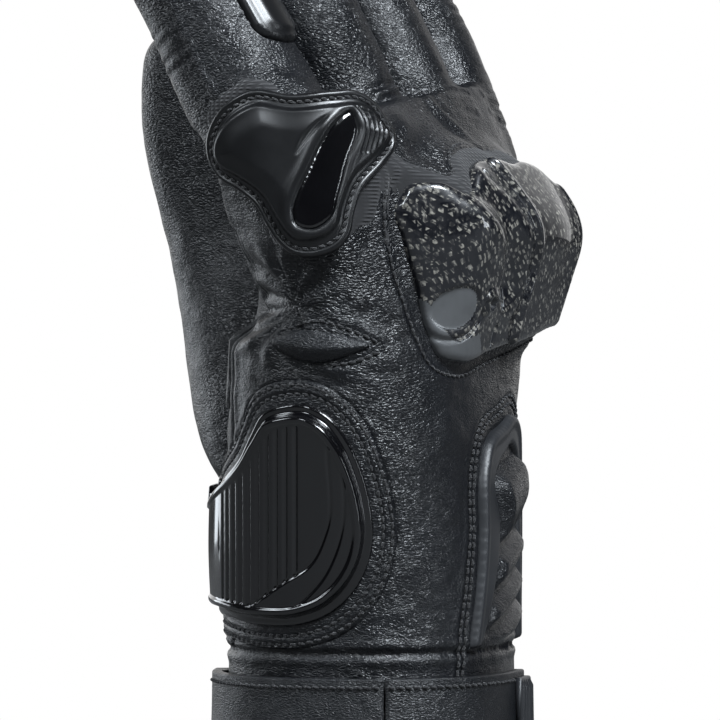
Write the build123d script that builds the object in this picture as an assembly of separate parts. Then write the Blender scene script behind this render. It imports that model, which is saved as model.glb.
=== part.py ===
"""Left-hand motorcycle riding glove, short cuff, standing on its cuff with the fingers up.

Frame: +Z from the cuff to the fingertips, -Y towards the back of the hand, +Y towards the palm,
-X towards the little finger, +X towards the thumb. Origin: centre of the cuff opening, on the plane
that the cuff stands on. Millimetres. Each leather panel, liner, moulding and pad is a separate solid.
"""

from build123d import *
from collections import namedtuple
import math
import os

# ------------------------------------------------------------------ driving dimensions

LEATHER = 1.4               # thickness of the shell leather
LINER = 0.7                 # thickness of the liner
FIT = 0.1                   # clearance between the liner and the leather
SEAT = 0.15                 # clearance between the leather and what is sewn on it
WALL = LEATHER + FIT + LINER

CUFF_TOP = 36.0             # height of the seam between the cuff and the hand
BINDING_HEIGHT = 6.0        # rolled binding round the cuff opening
BINDING_PROUD = 0.9         # how far the binding stands out of the leather

SQUARENESS = 2.4            # exponent of the superellipse of the hand's sections
RING_POINTS = 16            # points of one section's spline

# Sections of the hand: height, half width, half depth, centre, and turn about Z in degrees.
Station = namedtuple("Station", "height half_width half_depth x y turn")
HAND = (
    Station(-14, 45.5, 34.5, 0.0, 0.0, 12),
    Station(0, 44.0, 33.5, 0.0, 0.0, 12),
    Station(35, 42.0, 32.6, 0.0, 0.0, 12),
    Station(62, 43.0, 32.8, 0.0, 0.5, 11),
    Station(85, 46.0, 31.0, 0.5, 0.0, 7),
    Station(106, 49.0, 29.0, 1.0, -1.5, 3),
    Station(130, 52.0, 26.0, 1.0, -2.5, 0),
    Station(149, 54.0, 24.5, 1.0, -1.0, 0),
)
WEB = Station(166, 54.0, 17.5, 1.0, 3.0, 0)     # where the fingers leave the hand
WEB_LEAD = 0.6                                  # the last section lies this far below the web
WEB_OVERRUN = 14.0                              # the loft runs this far past the web
WEB_NORMAL = Vector(-0.15, 0.36, 0.92).normalized()

# A digit is a row of round sections: centre and radius. Its end is rounded.
Ring = namedtuple("Ring", "x y z radius")
FINGERS = {
    "pinky": (Ring(-34, 3, 140, 16.6), Ring(-37.0, 9, 157, 15.4), Ring(-38.5, 18, 172, 15.0),
              Ring(-40, 27, 189, 13.4), Ring(-40.5, 35, 200, 12.2)),
    "ring": (Ring(-11, -6.5, 146, 12.4), Ring(-10.8, -1.5, 158, 12.4), Ring(-11.5, 5.5, 173, 12.4),
             Ring(-11.5, 15.5, 191, 12.2), Ring(-11.5, 27.5, 208, 11.9), Ring(-11.5, 36.5, 217, 11.5)),
    "middle": (Ring(14, -8.5, 150, 12.5), Ring(14.5, -3.5, 162, 12.5), Ring(14.5, 2.5, 175, 12.5),
               Ring(14.5, 12.5, 193, 12.3), Ring(14.5, 26, 213, 12), Ring(14.5, 38, 226, 11.6)),
    "index": (Ring(38.5, -8, 148, 12.5), Ring(39.5, -4, 159, 12.5), Ring(40.5, 1.5, 172, 12.5),
              Ring(41.5, 11.5, 190, 12.3), Ring(42, 23.5, 208, 12), Ring(42, 34, 219, 11.6)),
}
TIP_ROUNDING = 0.8               # radius of the end's rounding over the radius of the digit
THUMB = (Ring(16, 22, 70, 15.5), Ring(21, 32, 85, 20.8), Ring(26, 39, 98, 20.8), Ring(29, 45, 114, 18.8),
         Ring(30, 53, 136, 15.8), Ring(28, 58, 151, 14.4), Ring(25.5, 60.2, 165, 13.4),
         Ring(24, 60.4, 175, 12.5))

PALM_SEAM = (20.0, 15.0)    # y of the side seams at the cuff seam and at the web

# The side plane faces the little-finger edge, turned towards the back of the hand. Its x axis runs
# from the palm to the back of the hand and its y axis is Z. The side mouldings are laid out on it.
SIDE_AZIMUTH = 65.0
_c, _s = math.cos(math.radians(SIDE_AZIMUTH)), math.sin(math.radians(SIDE_AZIMUTH))
SIDE = Plane(origin=(0, 0, 0), x_dir=(_c, -_s, 0), z_dir=(-_s, -_c, 0))
BACK = Plane(origin=(0, 0, 0), x_dir=(1, 0, 0), z_dir=(0, -1, 0))
PALM = Plane(origin=(0, 0, 0), x_dir=(-1, 0, 0), z_dir=(0, 1, 0))
REACH = 160.0               # length that clears the whole glove in a cut

# Ribbed slider over the heel of the hand, on the side plane.
SLIDER = ((-24.6, 91.4), (-20.4, 93.3), (-14.0, 93.3), (-9.7, 90.7), (-5.5, 85.2), (-2.5, 78.4),
          (-0.6, 71.2), (0.1, 62.6), (-1.2, 56.3), (-5.5, 49.0), (-9.7, 45.2), (-16.1, 42.7),
          (-24.7, 42.3), (-33.1, 43.6), (-39.5, 45.5), (-48.0, 50.0), (-48.0, 63.0), (-39.5, 71.2),
          (-33.1, 76.3), (-29.7, 81.0), (-27.1, 86.5))
SLIDER_WRAP_X = -12.0       # the slider ends here on the palm side
SLIDER_FLANGE = 2.2         # thickness of its flange
SLIDER_HEIGHT = 4.6         # height of its ribbed face above the leather
SLIDER_FLANGE_WIDTH = 2.0
RIB_COUNT = 12
RIB_PITCH = 1.6
RIB_WIDTH = 0.8
RIB_DEPTH = 0.7
FIRST_RIB = -36.2
RIB_FIELD = ((-48.0, 95.0), (-9.7, 95.0), (-9.7, 80.1), (-9.9, 64.8), (-14.0, 56.3), (-18.7, 52.9),
             (-28.2, 44.6), (-48.0, 44.0))     # the ribs stop at a curve across the face
CONTOURS = (((-10.4, 82.0), (-6.3, 76.0), (-6.8, 64.0), (-9.7, 55.5), (-18.2, 45.8)),
            ((-5.4, 78.0), (-3.6, 71.0), (-4.0, 62.0), (-7.6, 53.4), (-12.6, 48.0)))
CONTOUR_WIDTH = 0.6         # grooves that follow the face's lower corner
WELT_WIDTH = 5.0            # stitched leather welt round a moulding
WELT_THICKNESS = 1.4

# Moulded plate on the outer knuckle: a three-lobed dome on a cylinder that leans with the finger.
PLATE = ((-29.0, 166.8), (-19.9, 165.6), (-10.7, 166.5), (-4.7, 166.7), (-0.7, 164.5), (1.4, 161.8),
         (4.4, 156.3), (4.4, 153.6), (1.4, 149.0), (-3.1, 143.6), (-4.7, 139.0), (-6.1, 133.1),
         (-8.2, 130.5), (-11.3, 129.0), (-15.6, 128.3), (-19.7, 129.3), (-22.9, 132.0), (-25.6, 136.0),
         (-28.2, 140.5), (-32.0, 143.6), (-36.6, 146.7), (-38.8, 150.2), (-39.6, 155.7), (-36.6, 162.4))
PLATE_RADIUS = 27.0         # radius of the cylinder under the plate
PLATE_FRONT = (-54.6, -7.4)  # the cylinder's nearest line, as x and y at PLATE_HEIGHT
PLATE_HEIGHT = 148.0
PLATE_LEAN = 13.0           # degrees that the cylinder leans towards the palm
PLATE_RIM = 1.5             # thickness of the sewn rim
PLATE_RIM_WIDTH = 3.2
PLATE_DOME = 3.6            # height of the raised middle above the cylinder
PLATE_START = 27.0          # the plate lies further out than this from the glove's middle
INLAY = ((-6.8, 161.4), (-5.2, 157.9), (-7.4, 149.6), (-9.2, 142.1), (-10.6, 137.0), (-14.4, 134.5),
         (-18.0, 135.4), (-19.2, 138.7), (-18.4, 142.4), (-15.9, 148.1), (-13.2, 154.2), (-9.8, 159.4))
INLAY_DEPTH = 1.0
RIPPLE = ((-6.6, 163.0), (-4.4, 160.6), (-3.7, 156.8), (-4.4, 152.4))    # groove beside the recess
RIPPLE_COUNT = 4
RIPPLE_PITCH = 1.15
RIPPLE_WIDTH = 0.5
RIPPLE_DEPTH = 0.5
CRESCENT = ((-11.9, 160.4), (-15.0, 158.4), (-17.4, 155.2), (-18.5, 151.4), (-16.5, 154.4), (-14.3, 157.3))

# Hard shell over the knuckles: half widths and crown at each height.
Arch = namedtuple("Arch", "height left right left_y right_y shoulder crown")
GUARD = (
    Arch(96, -26.0, 31.0, -28.5, -27.5, -31.5, -33.5),
    Arch(112, -31.5, 37.0, -27.5, -25.0, -35.5, -39.0),
    Arch(124, -35.5, 41.0, -25.5, -21.5, -38.0, -41.8),
    Arch(135, -37.0, 42.0, -24.5, -19.5, -39.0, -43.8),
    Arch(146, -36.5, 41.5, -24.5, -19.5, -34.5, -37.5),
    Arch(158, -34.0, 38.0, -23.0, -19.0, -25.0, -27.0),
)
GUARD_OUTLINE = ((-37.0, 140.0), (-35.5, 143.8), (-31.0, 145.0), (-24.5, 143.4), (-20.0, 145.0),
                 (-16.5, 148.2), (-10.0, 150.6), (-3.0, 151.2), (6.0, 150.0), (14.0, 150.8), (21.0, 149.5),
                 (27.0, 146.0), (33.0, 146.8), (38.5, 144.6), (41.0, 139.0), (40.5, 129.0), (36.5, 118.0),
                 (31.0, 112.8), (22.0, 110.8), (8.0, 108.0), (-7.0, 105.0), (-21.0, 102.8), (-26.5, 104.2),
                 (-29.5, 109.0), (-33.5, 120.0), (-36.5, 131.0))
GUARD_WALL = 2.2
GUARD_RIDGE = 1.3           # step of the raised middle of the shell
GUARD_RIDGE_OUTLINE = ((-4.5, 153.0), (-1.3, 142.0), (2.0, 133.0), (4.0, 126.0), (2.5, 117.0),
                       (3.0, 106.0), (16.0, 100.0), (27.0, 106.0), (28.0, 120.0), (30.0, 133.0),
                       (28.5, 144.0), (24.0, 154.0), (10.0, 158.0))
VENT_X = (-15.5,)
VENT_HEIGHT = 117.0
VENT_RADIUS = 3.4
VENT_BORE = 1.7
DISC_X = (-25.5,)
DISC_HEIGHT = 115.5
DISC_RADIUS = 5.2
DISC_DEPTH = 0.8
COLLAR_RADIUS = 7.2         # groove round the lower half of each disc
COLLAR_WIDTH = 1.0
SLOTS = ((-6.5, 118.0), (-7.6, 109.4))
SLOT_LENGTH = 4.6
SLOT_WIDTH = 1.8

# Stretch zone on the back of the wrist: a moulded frame round padded leather rolls.
FRAME_OUTER = ((-18.5, 36.6), (-15.6, 49.0), (-13.0, 62.6), (-10.0, 78.0), (-6.0, 84.0), (5.0, 88.0),
               (15.0, 90.6), (21.0, 87.5), (24.5, 77.0), (26.0, 60.0), (27.0, 36.6))
FRAME_INNER = ((-14.0, 36.6), (-9.8, 44.0), (-6.4, 51.2), (-3.0, 60.3), (-2.0, 67.1), (-3.8, 74.6),
               (0.0, 78.6), (6.0, 81.3), (12.0, 83.4), (17.0, 81.0), (19.6, 74.0), (19.2, 64.0),
               (20.8, 54.0), (22.2, 44.0), (23.4, 36.6))
FRAME_THICKNESS = 2.4
Roll = namedtuple("Roll", "height radius")
ROLLS = (Roll(40.5, 4.6), Roll(48.0, 4.8), Roll(56.8, 5.6), Roll(69.5, 8.6))
ROLL_PROUD = 2.9            # how far a roll stands out of the leather
ROLL_X = 8.0                # middle of the rolls
ROLL_HALF_WIDTH = 14.0
ROLL_SLOPE = 22.0           # degrees that the rolls climb towards the thumb

# Small padded pleat on the outer edge of the hand, between the mouldings.
PLEAT_CENTRE = (-11.8, 106.9)
PLEAT_LENGTH = 23.0
PLEAT_WIDTH = 7.2
PLEAT_HEIGHT = 2.4

PALM_PATCH = ((-37.0, 92.0), (-30.0, 132.0), (-4.0, 138.0), (34.0, 134.0), (38.0, 112.0), (12.0, 96.0),
              (-12.0, 60.0), (-34.0, 60.0))
PATCH_THICKNESS = 1.2

CAP_LENGTH = 26.0           # armour cap on the back of each finger
CAP_WIDTH = 15.0
CAP_THICKNESS = 2.6

# Wrist strap: two leather lengths round the cuff, hook tape inside, moulded pull tab at the end.
STRAP_LOW = 9.5
STRAP_HIGH = 30.5
STRAP_LEATHER = 2.2
STRAP_STANDOFF = 1.6        # room for the hook and loop tapes between the strap and the cuff
STRAP_ANCHOR_ANGLE = 118.0  # angles round the cuff, in degrees from +X
STRAP_ROOT_ANGLE = 134.0
STRAP_MIDDLE_ANGLE = 208.0
STRAP_END_ANGLE = 284.0
STRAP_GAP = 0.4             # gap at each of the strap's bending lines
TAPE_THICKNESS = 0.55
TAPE_INSET = 2.5
TAB_LENGTH_ANGLE = 15.0
TAB_THICKNESS = 1.5
TAB_OVERHANG = 1.5
TAB_RIDGES = 4

LOOP_WIDTH = 9.0            # pull loop inside the palm side of the cuff
LOOP_DROP = 16.0
LOOP_THICKNESS = 1.2

# ------------------------------------------------------------------ building blocks


def section(station, grow, plane=None):
    """Closed superellipse face of one station, grown outwards by grow."""
    points = []
    for i in range(RING_POINTS):
        angle = 2 * math.pi * i / RING_POINTS
        c, s = math.cos(angle), math.sin(angle)
        x = (station.half_width + grow) * math.copysign(abs(c) ** (2 / SQUARENESS), c)
        y = (station.half_depth + grow) * math.copysign(abs(s) ** (2 / SQUARENESS), s)
        points.append(Vector(x, y, 0).rotate(Axis.Z, station.turn) + Vector(station.x, station.y, 0))
    face = Face(Wire([Edge.make_spline(points, periodic=True)]))
    if plane is None:
        return face.locate(Location((0, 0, station.height)))
    return face.locate(plane.location)


def web_plane(raised=0.0):
    """The leaning plane that the fingers leave the hand through."""
    origin = Vector(0, 0, WEB.height) + WEB_NORMAL * raised
    return Plane(origin=origin, x_dir=Vector(1, 0, -WEB_NORMAL.X / WEB_NORMAL.Z), z_dir=WEB_NORMAL)


def form(grow):
    """The hand as a lofted solid that runs past both of its ends, grown outwards by grow."""
    sections = [section(station, grow) for station in HAND]
    sections.append(section(WEB, grow, web_plane(-WEB_LEAD)))
    sections.append(section(WEB, grow, web_plane(WEB_OVERRUN)))
    return loft(sections)


def below(plane):
    """Everything under a plane."""
    return plane * Pos(0, 0, -REACH) * Box(2 * REACH, 2 * REACH, 2 * REACH)


def above(plane):
    """Everything over a plane."""
    return plane * Pos(0, 0, REACH) * Box(2 * REACH, 2 * REACH, 2 * REACH)


def slab(low, high):
    """Everything between two heights."""
    return Pos(0, 0, (low + high) / 2) * Box(2 * REACH, 2 * REACH, high - low)


def digit(rings, grow):
    """A finger or thumb as a loft of circles, rounded at its end."""
    circles = []
    tip = rings[-1]
    centres = [Vector(r.x, r.y, r.z) for r in rings]
    centres.append(centres[-1] + (centres[-1] - centres[-2]).normalized() * (tip.radius + grow))
    for i, ring in enumerate((*rings, tip)):
        ahead = centres[min(i + 1, len(rings))]
        behind = centres[max(i - 1, 0)]
        plane = Plane(origin=centres[i], x_dir=(1, 0, 0), z_dir=(ahead - behind).normalized())
        circles.append(plane * Face(Wire([Edge.make_circle(ring.radius + grow)])))
    blunt = loft(circles)
    rim = blunt.faces().sort_by(Axis(centres[-2], centres[-1] - centres[-2]))[-1].edges()
    return fillet(rim, TIP_ROUNDING * tip.radius + grow)


def grown(points, grow, closed=True):
    """The points moved by grow to the left of the way that they run in."""
    moved = []
    for i, point in enumerate(points):
        before = points[i - 1] if closed else points[max(i - 1, 0)]
        after = points[(i + 1) % len(points)] if closed else points[min(i + 1, len(points) - 1)]
        along = Vector(after[0] - before[0], after[1] - before[1]).normalized()
        moved.append((point[0] - along.Y * grow, point[1] + along.X * grow))
    return moved


def closed_spline(points, grow=0.0):
    """Face inside a smooth curve through points that run clockwise, moved outwards by grow."""
    vectors = [Vector(*p, 0) for p in grown(points, grow)]
    return Face(Wire([Edge.make_spline(vectors, periodic=True)]))


def prism(plane, face, start=0.0, end=REACH):
    """A flat face laid on a plane and pushed along its normal."""
    return extrude(plane * Pos(0, 0, start) * face, end - start, dir=plane.z_dir)


def band(inner, outer):
    """The layer between two growths of the hand, short of both ends of the loft."""
    trimmed = (form(outer) - above(web_plane(WEB_OVERRUN - 3))) & slab(HAND[0].height + 3, 2 * REACH)
    return trimmed - form(inner)


# ------------------------------------------------------------------ leather shell and liner

HOLLOW = {name: digit(rings, -LEATHER) for name, rings in FINGERS.items()}
THUMB_HOLLOW = digit(THUMB, -LEATHER)
SEAM_LEAN = math.degrees(math.atan2(PALM_SEAM[0] - PALM_SEAM[1], WEB.height - CUFF_TOP))


def palm_side():
    """Everything on the palm side of the two side seams."""
    plane = Plane(origin=(0, PALM_SEAM[0], CUFF_TOP), x_dir=(-1, 0, 0),
                  z_dir=Vector(0, 1, 0).rotate(Axis.X, SEAM_LEAN))
    return plane * Pos(0, 0, REACH) * Box(2 * REACH, 2 * REACH, 2 * REACH)


def hand_shell():
    """Leather of the hand above the cuff seam, open to the fingers, the thumb and the cuff."""
    outside = form(0) & below(web_plane()) & slab(CUFF_TOP, REACH * 2)
    inside = form(-LEATHER) & below(web_plane(-LEATHER))
    shell = outside - inside
    for hollow in (*HOLLOW.values(), THUMB_HOLLOW):
        shell -= hollow
    return shell


def stall(rings):
    """Leather tube of one finger, from the web to the tip."""
    return digit(rings, 0) - below(web_plane()) - digit(rings, -LEATHER)


def thumb_stall():
    return digit(THUMB, 0) - form(0) - THUMB_HOLLOW


def hand_liner():
    outside = form(-LEATHER - FIT) & below(web_plane(-LEATHER - FIT)) & slab(BINDING_HEIGHT, REACH * 2)
    inside = form(-WALL) & below(web_plane(-WALL))
    liner = outside - inside
    for rings in (*FINGERS.values(), THUMB):
        liner -= digit(rings, -LEATHER)
    return liner


def digit_liners():
    """Liner tubes of the four fingers and the thumb."""
    tubes = []
    for rings in FINGERS.values():
        tubes.append(digit(rings, -LEATHER - FIT) - below(web_plane(-LEATHER)) - digit(rings, -WALL))
    tubes.append(digit(THUMB, -LEATHER - FIT) - form(-LEATHER) - digit(THUMB, -WALL))
    return tubes


# ------------------------------------------------------------------ mouldings and pads


def on_slider_side():
    """Keeps what is on the little-finger side of the slider's end on the palm."""
    return Pos(SLIDER_WRAP_X - REACH, 0, 0) * Box(2 * REACH, 2 * REACH, 4 * REACH)


def ribbon(points, width):
    """Face of even width along a smooth curve through points."""
    near = Edge.make_spline([Vector(*p, 0) for p in points])
    far = Edge.make_spline([Vector(*p, 0) for p in grown(points, width, closed=False)])
    return Face(Wire([near, Edge.make_line(near @ 1, far @ 1), far, Edge.make_line(far @ 0, near @ 0)]))


def wrist_slider():
    """Flange and raised face, with ribs and contour lines cut into it."""
    flange = band(SEAT, SLIDER_FLANGE) & prism(SIDE, closed_spline(SLIDER), -REACH) & on_slider_side()
    face_edge = prism(SIDE, closed_spline(SLIDER, -SLIDER_FLANGE_WIDTH), -REACH)
    face_end = Pos(-SLIDER_FLANGE_WIDTH, 0, 0) * on_slider_side()
    face = band(SEAT, SLIDER_HEIGHT) & face_edge & face_end
    cutter = band(SLIDER_HEIGHT - RIB_DEPTH, SLIDER_HEIGHT + SLIDER_FLANGE)
    inner = prism(SIDE, closed_spline(SLIDER, -2 * SLIDER_FLANGE_WIDTH), 0)
    field = prism(SIDE, Face(Wire.make_polygon([Vector(*p, 0) for p in RIB_FIELD])), 0)
    contours = [prism(SIDE, ribbon(points, CONTOUR_WIDTH)) for points in CONTOURS]
    grooves = []
    for i in range(RIB_COUNT):
        at = FIRST_RIB + i * RIB_PITCH
        bar = Pos(at, (SLIDER[0][1] + SLIDER[7][1]) / 2, 0) * Rectangle(RIB_PITCH - RIB_WIDTH, REACH)
        grooves.append(prism(SIDE, bar.face(), 0))
    ribs = Compound(children=grooves) & inner & field
    return (flange + face) - (cutter & ribs) - (cutter & Compound(children=contours))


def welt(plane, face, hole, start):
    """A stitched strip of leather round a moulding's outline."""
    ring = prism(plane, face, start) - prism(plane, hole, start - 1, REACH + 1)
    return band(0, WELT_THICKNESS) & ring


def slider_welt():
    ring = welt(SIDE, closed_spline(SLIDER, WELT_WIDTH), closed_spline(SLIDER, SEAT), -REACH)
    return ring & (Pos(WELT_WIDTH, 0, 0) * on_slider_side())


def plate_cylinder(grow):
    """Leaning cylinder whose surface carries the knuckle plate."""
    toward = SIDE.z_dir
    axis_point = Vector(*PLATE_FRONT, PLATE_HEIGHT) - toward * PLATE_RADIUS
    lean = Vector(0, math.sin(math.radians(PLATE_LEAN)), math.cos(math.radians(PLATE_LEAN)))
    plane = Plane(origin=axis_point, x_dir=(1, 0, 0), z_dir=lean)
    return plane * Cylinder(PLATE_RADIUS + grow, REACH)


def side_plate():
    """Sewn rim, raised middle, oval recess, and the ripples and crescent beside it."""
    rim = plate_cylinder(PLATE_RIM) & prism(SIDE, closed_spline(PLATE), PLATE_START)
    dome = plate_cylinder(PLATE_DOME) & prism(SIDE, closed_spline(PLATE, -PLATE_RIM_WIDTH), PLATE_START)
    rim -= plate_cylinder(0)
    dome -= plate_cylinder(0)
    recess = prism(SIDE, closed_spline(INLAY, FIT), PLATE_START) - plate_cylinder(PLATE_DOME - INLAY_DEPTH)
    plate = rim + dome - recess
    deep = plate_cylinder(PLATE_DOME - RIPPLE_DEPTH)
    plate -= prism(SIDE, closed_spline(CRESCENT), PLATE_START) - deep
    for i in range(RIPPLE_COUNT):
        curve = grown(RIPPLE, i * RIPPLE_PITCH, closed=False)
        plate -= prism(SIDE, ribbon(curve, RIPPLE_WIDTH), PLATE_START) - deep
    return plate


def plate_inlay():
    layer = plate_cylinder(PLATE_DOME - INLAY_DEPTH / 2) - plate_cylinder(PLATE_DOME - INLAY_DEPTH + FIT)
    return layer & prism(SIDE, closed_spline(INLAY), PLATE_START)


def plate_pad():
    """Foam between the plate and the knuckle."""
    pad = plate_cylinder(-SEAT) & prism(SIDE, closed_spline(PLATE, -PLATE_RIM_WIDTH / 2), PLATE_START)
    return pad - form(SEAT) - digit(FINGERS["pinky"], SEAT)


def guard_solid(sink):
    """The shell's outer form; sink takes it inwards by that much."""
    sections = []
    for arch in GUARD:
        span = arch.right - arch.left
        crown = arch.crown + sink
        shoulder = arch.shoulder + sink
        left = arch.left + sink
        right = arch.right - sink
        points = [(left, arch.left_y + sink), (arch.left + 0.13 * span + sink / 2, shoulder),
                  (arch.left + 0.36 * span, (shoulder + 2 * crown) / 3), (arch.left + 0.56 * span, crown),
                  (arch.left + 0.74 * span, (shoulder + 3 * crown) / 4),
                  (arch.left + 0.9 * span - sink / 2, shoulder + 1.5), (right, arch.right_y + sink)]
        top = Edge.make_spline([Vector(x, y, arch.height) for x, y in points])
        chord = Edge.make_line(top @ 1, top @ 0)
        sections.append(Face(Wire([top, chord])))
    return loft(sections)


def collar():
    """Half ring that opens upwards."""
    ring = Circle(COLLAR_RADIUS + COLLAR_WIDTH / 2) - Circle(COLLAR_RADIUS - COLLAR_WIDTH / 2)
    return ring & Pos(0, -COLLAR_RADIUS, 0) * Rectangle(4 * COLLAR_RADIUS, 2 * COLLAR_RADIUS)


def knuckle_guard():
    """Domed shell with a raised middle, a bored vent boss, and a collared disc and slots sunk in it."""
    inner = guard_solid(GUARD_WALL)
    shell = guard_solid(0) & prism(BACK, closed_spline(GUARD_OUTLINE))
    middle = guard_solid(-GUARD_RIDGE) & prism(BACK, closed_spline(GUARD_OUTLINE, -2.5))
    shell += middle & prism(BACK, closed_spline(GUARD_RIDGE_OUTLINE))
    for x in VENT_X:
        boss = prism(BACK, Pos(x, VENT_HEIGHT, 0) * Circle(VENT_RADIUS).face())
        shell += boss & guard_solid(-GUARD_RIDGE)
    shell -= inner
    for x in VENT_X:
        shell -= prism(BACK, Pos(x, VENT_HEIGHT, 0) * Circle(VENT_BORE).face())
    sunk = [Pos(x, z, 0) * Rot(0, 0, 80) * SlotOverall(SLOT_LENGTH, SLOT_WIDTH) for x, z in SLOTS]
    for x in DISC_X:
        sunk += [Pos(x, DISC_HEIGHT, 0) * Circle(DISC_RADIUS), Pos(x, DISC_HEIGHT, 0) * collar()]
    for mark in sunk:
        shell -= prism(BACK, mark.face()) - guard_solid(DISC_DEPTH)
    return shell - form(SEAT)


def guard_pad():
    """Foam that fills the shell down to the leather."""
    pad = guard_solid(GUARD_WALL + SEAT) & prism(BACK, closed_spline(GUARD_OUTLINE, -1.0))
    return pad - form(SEAT)


def guard_welt():
    return welt(BACK, closed_spline(GUARD_OUTLINE, WELT_WIDTH - 1), closed_spline(GUARD_OUTLINE, SEAT), 0)


def frame_face(points, grow=0.0):
    """Face under an arch of points, closed by a straight foot."""
    vectors = [Vector(*p, 0) for p in grown(points, grow, closed=False)]
    return Face(Wire([Edge.make_spline(vectors), Edge.make_line(vectors[-1], vectors[0])]))


def stretch_frame():
    """Moulded arch that borders the rolls on both sides and above."""
    outer = prism(BACK, frame_face(FRAME_OUTER))
    hole = prism(BACK, frame_face(FRAME_INNER), -1, REACH + 1)
    foot = BACK * Pos(0, FRAME_INNER[0][1], REACH / 2) * Box(2 * REACH, 2 * SEAT, REACH)
    return band(SEAT, FRAME_THICKNESS) & (outer - hole - foot)


def back_surface(x, z):
    """The y of the leather on the back of the hand, at x and z."""
    line = Edge.make_line(Vector(x, -REACH, z), Vector(x, 0, z))
    return min(v.Y for v in (form(0) & line).vertices())


def stretch_rolls():
    """Padded leather rolls across the stretch zone, in the frame's opening."""
    opening = prism(BACK, frame_face(FRAME_INNER, -SEAT))
    rolls = []
    for roll in ROLLS:
        crown = back_surface(ROLL_X, roll.height) - ROLL_PROUD + roll.radius
        across = Vector(1, 0, 0).rotate(Axis.Y, -ROLL_SLOPE).rotate(Axis.Z, HAND[3].turn)
        axis = Plane(origin=(ROLL_X, crown, roll.height), x_dir=Vector(0, 1, 0).rotate(Axis.Z, HAND[3].turn),
                     z_dir=across)
        bar = axis * Cylinder(roll.radius, 2 * ROLL_HALF_WIDTH + 4)
        padded = (bar - form(SEAT)) & opening
        if rolls:
            padded -= rolls[-1]
        rolls.append(max(padded.solids(), key=lambda s: s.volume))
    return rolls


def pleat():
    ellipse = Pos(*PLEAT_CENTRE, 0) * Ellipse(PLEAT_LENGTH / 2, PLEAT_WIDTH / 2).face()
    return band(SEAT, PLEAT_HEIGHT) & prism(SIDE, ellipse)


def palm_patch():
    """Second layer of leather over the palm and the heel of the hand."""
    mirrored = [(-x, z) for x, z in PALM_PATCH]
    patch = band(SEAT, PATCH_THICKNESS) & prism(PALM, closed_spline(mirrored))
    patch -= digit(THUMB, SEAT)
    patch -= prism(SIDE, closed_spline(SLIDER, WELT_WIDTH + SEAT), -REACH)
    return max(patch.solids(), key=lambda s: s.volume)


def finger_caps():
    """Moulded armour on the back of each finger's middle joint."""
    caps = []
    for rings in FINGERS.values():
        a, b = rings[-3], rings[-2]
        centre = Vector((a.x + b.x) / 2, (a.y + b.y) / 2, (a.z + b.z) / 2)
        along = Vector(b.x - a.x, b.y - a.y, b.z - a.z).normalized()
        outward = Vector(1, 0, 0).cross(along).normalized() * -1
        plane = Plane(origin=centre, x_dir=along, z_dir=outward)
        outline = plane * SlotOverall(CAP_LENGTH, CAP_WIDTH).face()
        column = extrude(outline, REACH / 4, dir=-outward if outward.Y > 0 else outward)
        cap = (digit(rings, CAP_THICKNESS) - digit(rings, SEAT)) & column
        caps.append(max(cap.solids(), key=lambda s: s.volume))
    return caps


# ------------------------------------------------------------------ cuff and strap


def wedge(start, end):
    """Everything between two angles round the cuff."""
    points = [Vector(0, 0)] + [Vector(REACH * math.cos(math.radians(a)), REACH * math.sin(math.radians(a)))
                               for a in (start, (2 * start + end) / 3, (start + 2 * end) / 3, end)]
    return extrude(Face(Wire.make_polygon(points, close=True)), REACH)


def strap_layer(inner, outer, low, high):
    return band(inner, outer) & slab(low, high)


def strap_piece(start, end):
    inner = STRAP_STANDOFF
    return strap_layer(inner, inner + STRAP_LEATHER, STRAP_LOW, STRAP_HIGH) & wedge(start, end)


def gap_angle():
    """Angle round the cuff that a bending gap takes."""
    return math.degrees(STRAP_GAP / HAND[2].half_width)


def strap_anchor():
    """Sewn root of the strap, which fills the room for the tapes as well."""
    layer = strap_layer(SEAT, STRAP_STANDOFF + STRAP_LEATHER, STRAP_LOW, STRAP_HIGH)
    return layer & wedge(STRAP_ANCHOR_ANGLE, STRAP_ROOT_ANGLE)


def tape(inner, start, end):
    layer = strap_layer(inner, inner + TAPE_THICKNESS, STRAP_LOW + TAPE_INSET, STRAP_HIGH - TAPE_INSET)
    return layer & wedge(start, end)


def pull_tab():
    """Moulded end of the strap, proud of the leather, with cross ridges."""
    inner = STRAP_STANDOFF + STRAP_LEATHER + FIT
    start = STRAP_END_ANGLE - TAB_LENGTH_ANGLE
    base = strap_layer(inner, inner + TAB_THICKNESS, STRAP_LOW + TAB_OVERHANG, STRAP_HIGH - TAB_OVERHANG)
    tab = base & wedge(start, STRAP_END_ANGLE)
    ridge_layer = strap_layer(inner, inner + TAB_THICKNESS * 1.6, STRAP_LOW + 2 * TAB_OVERHANG,
                              STRAP_HIGH - 2 * TAB_OVERHANG)
    step = TAB_LENGTH_ANGLE / (TAB_RIDGES + 1)
    for i in range(TAB_RIDGES):
        middle = start + step * (i + 1)
        tab += ridge_layer & wedge(middle - step / 4, middle + step / 4)
    return tab


def pull_loop():
    """Webbing loop sewn inside the palm side of the cuff."""
    inner = band(-WALL - FIT - LOOP_THICKNESS, -WALL - FIT)
    column = prism(PALM, Pos(0, BINDING_HEIGHT + LOOP_DROP, 0) * Rectangle(LOOP_WIDTH, LOOP_DROP).face())
    return inner & column


# ------------------------------------------------------------------ assembly


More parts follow.
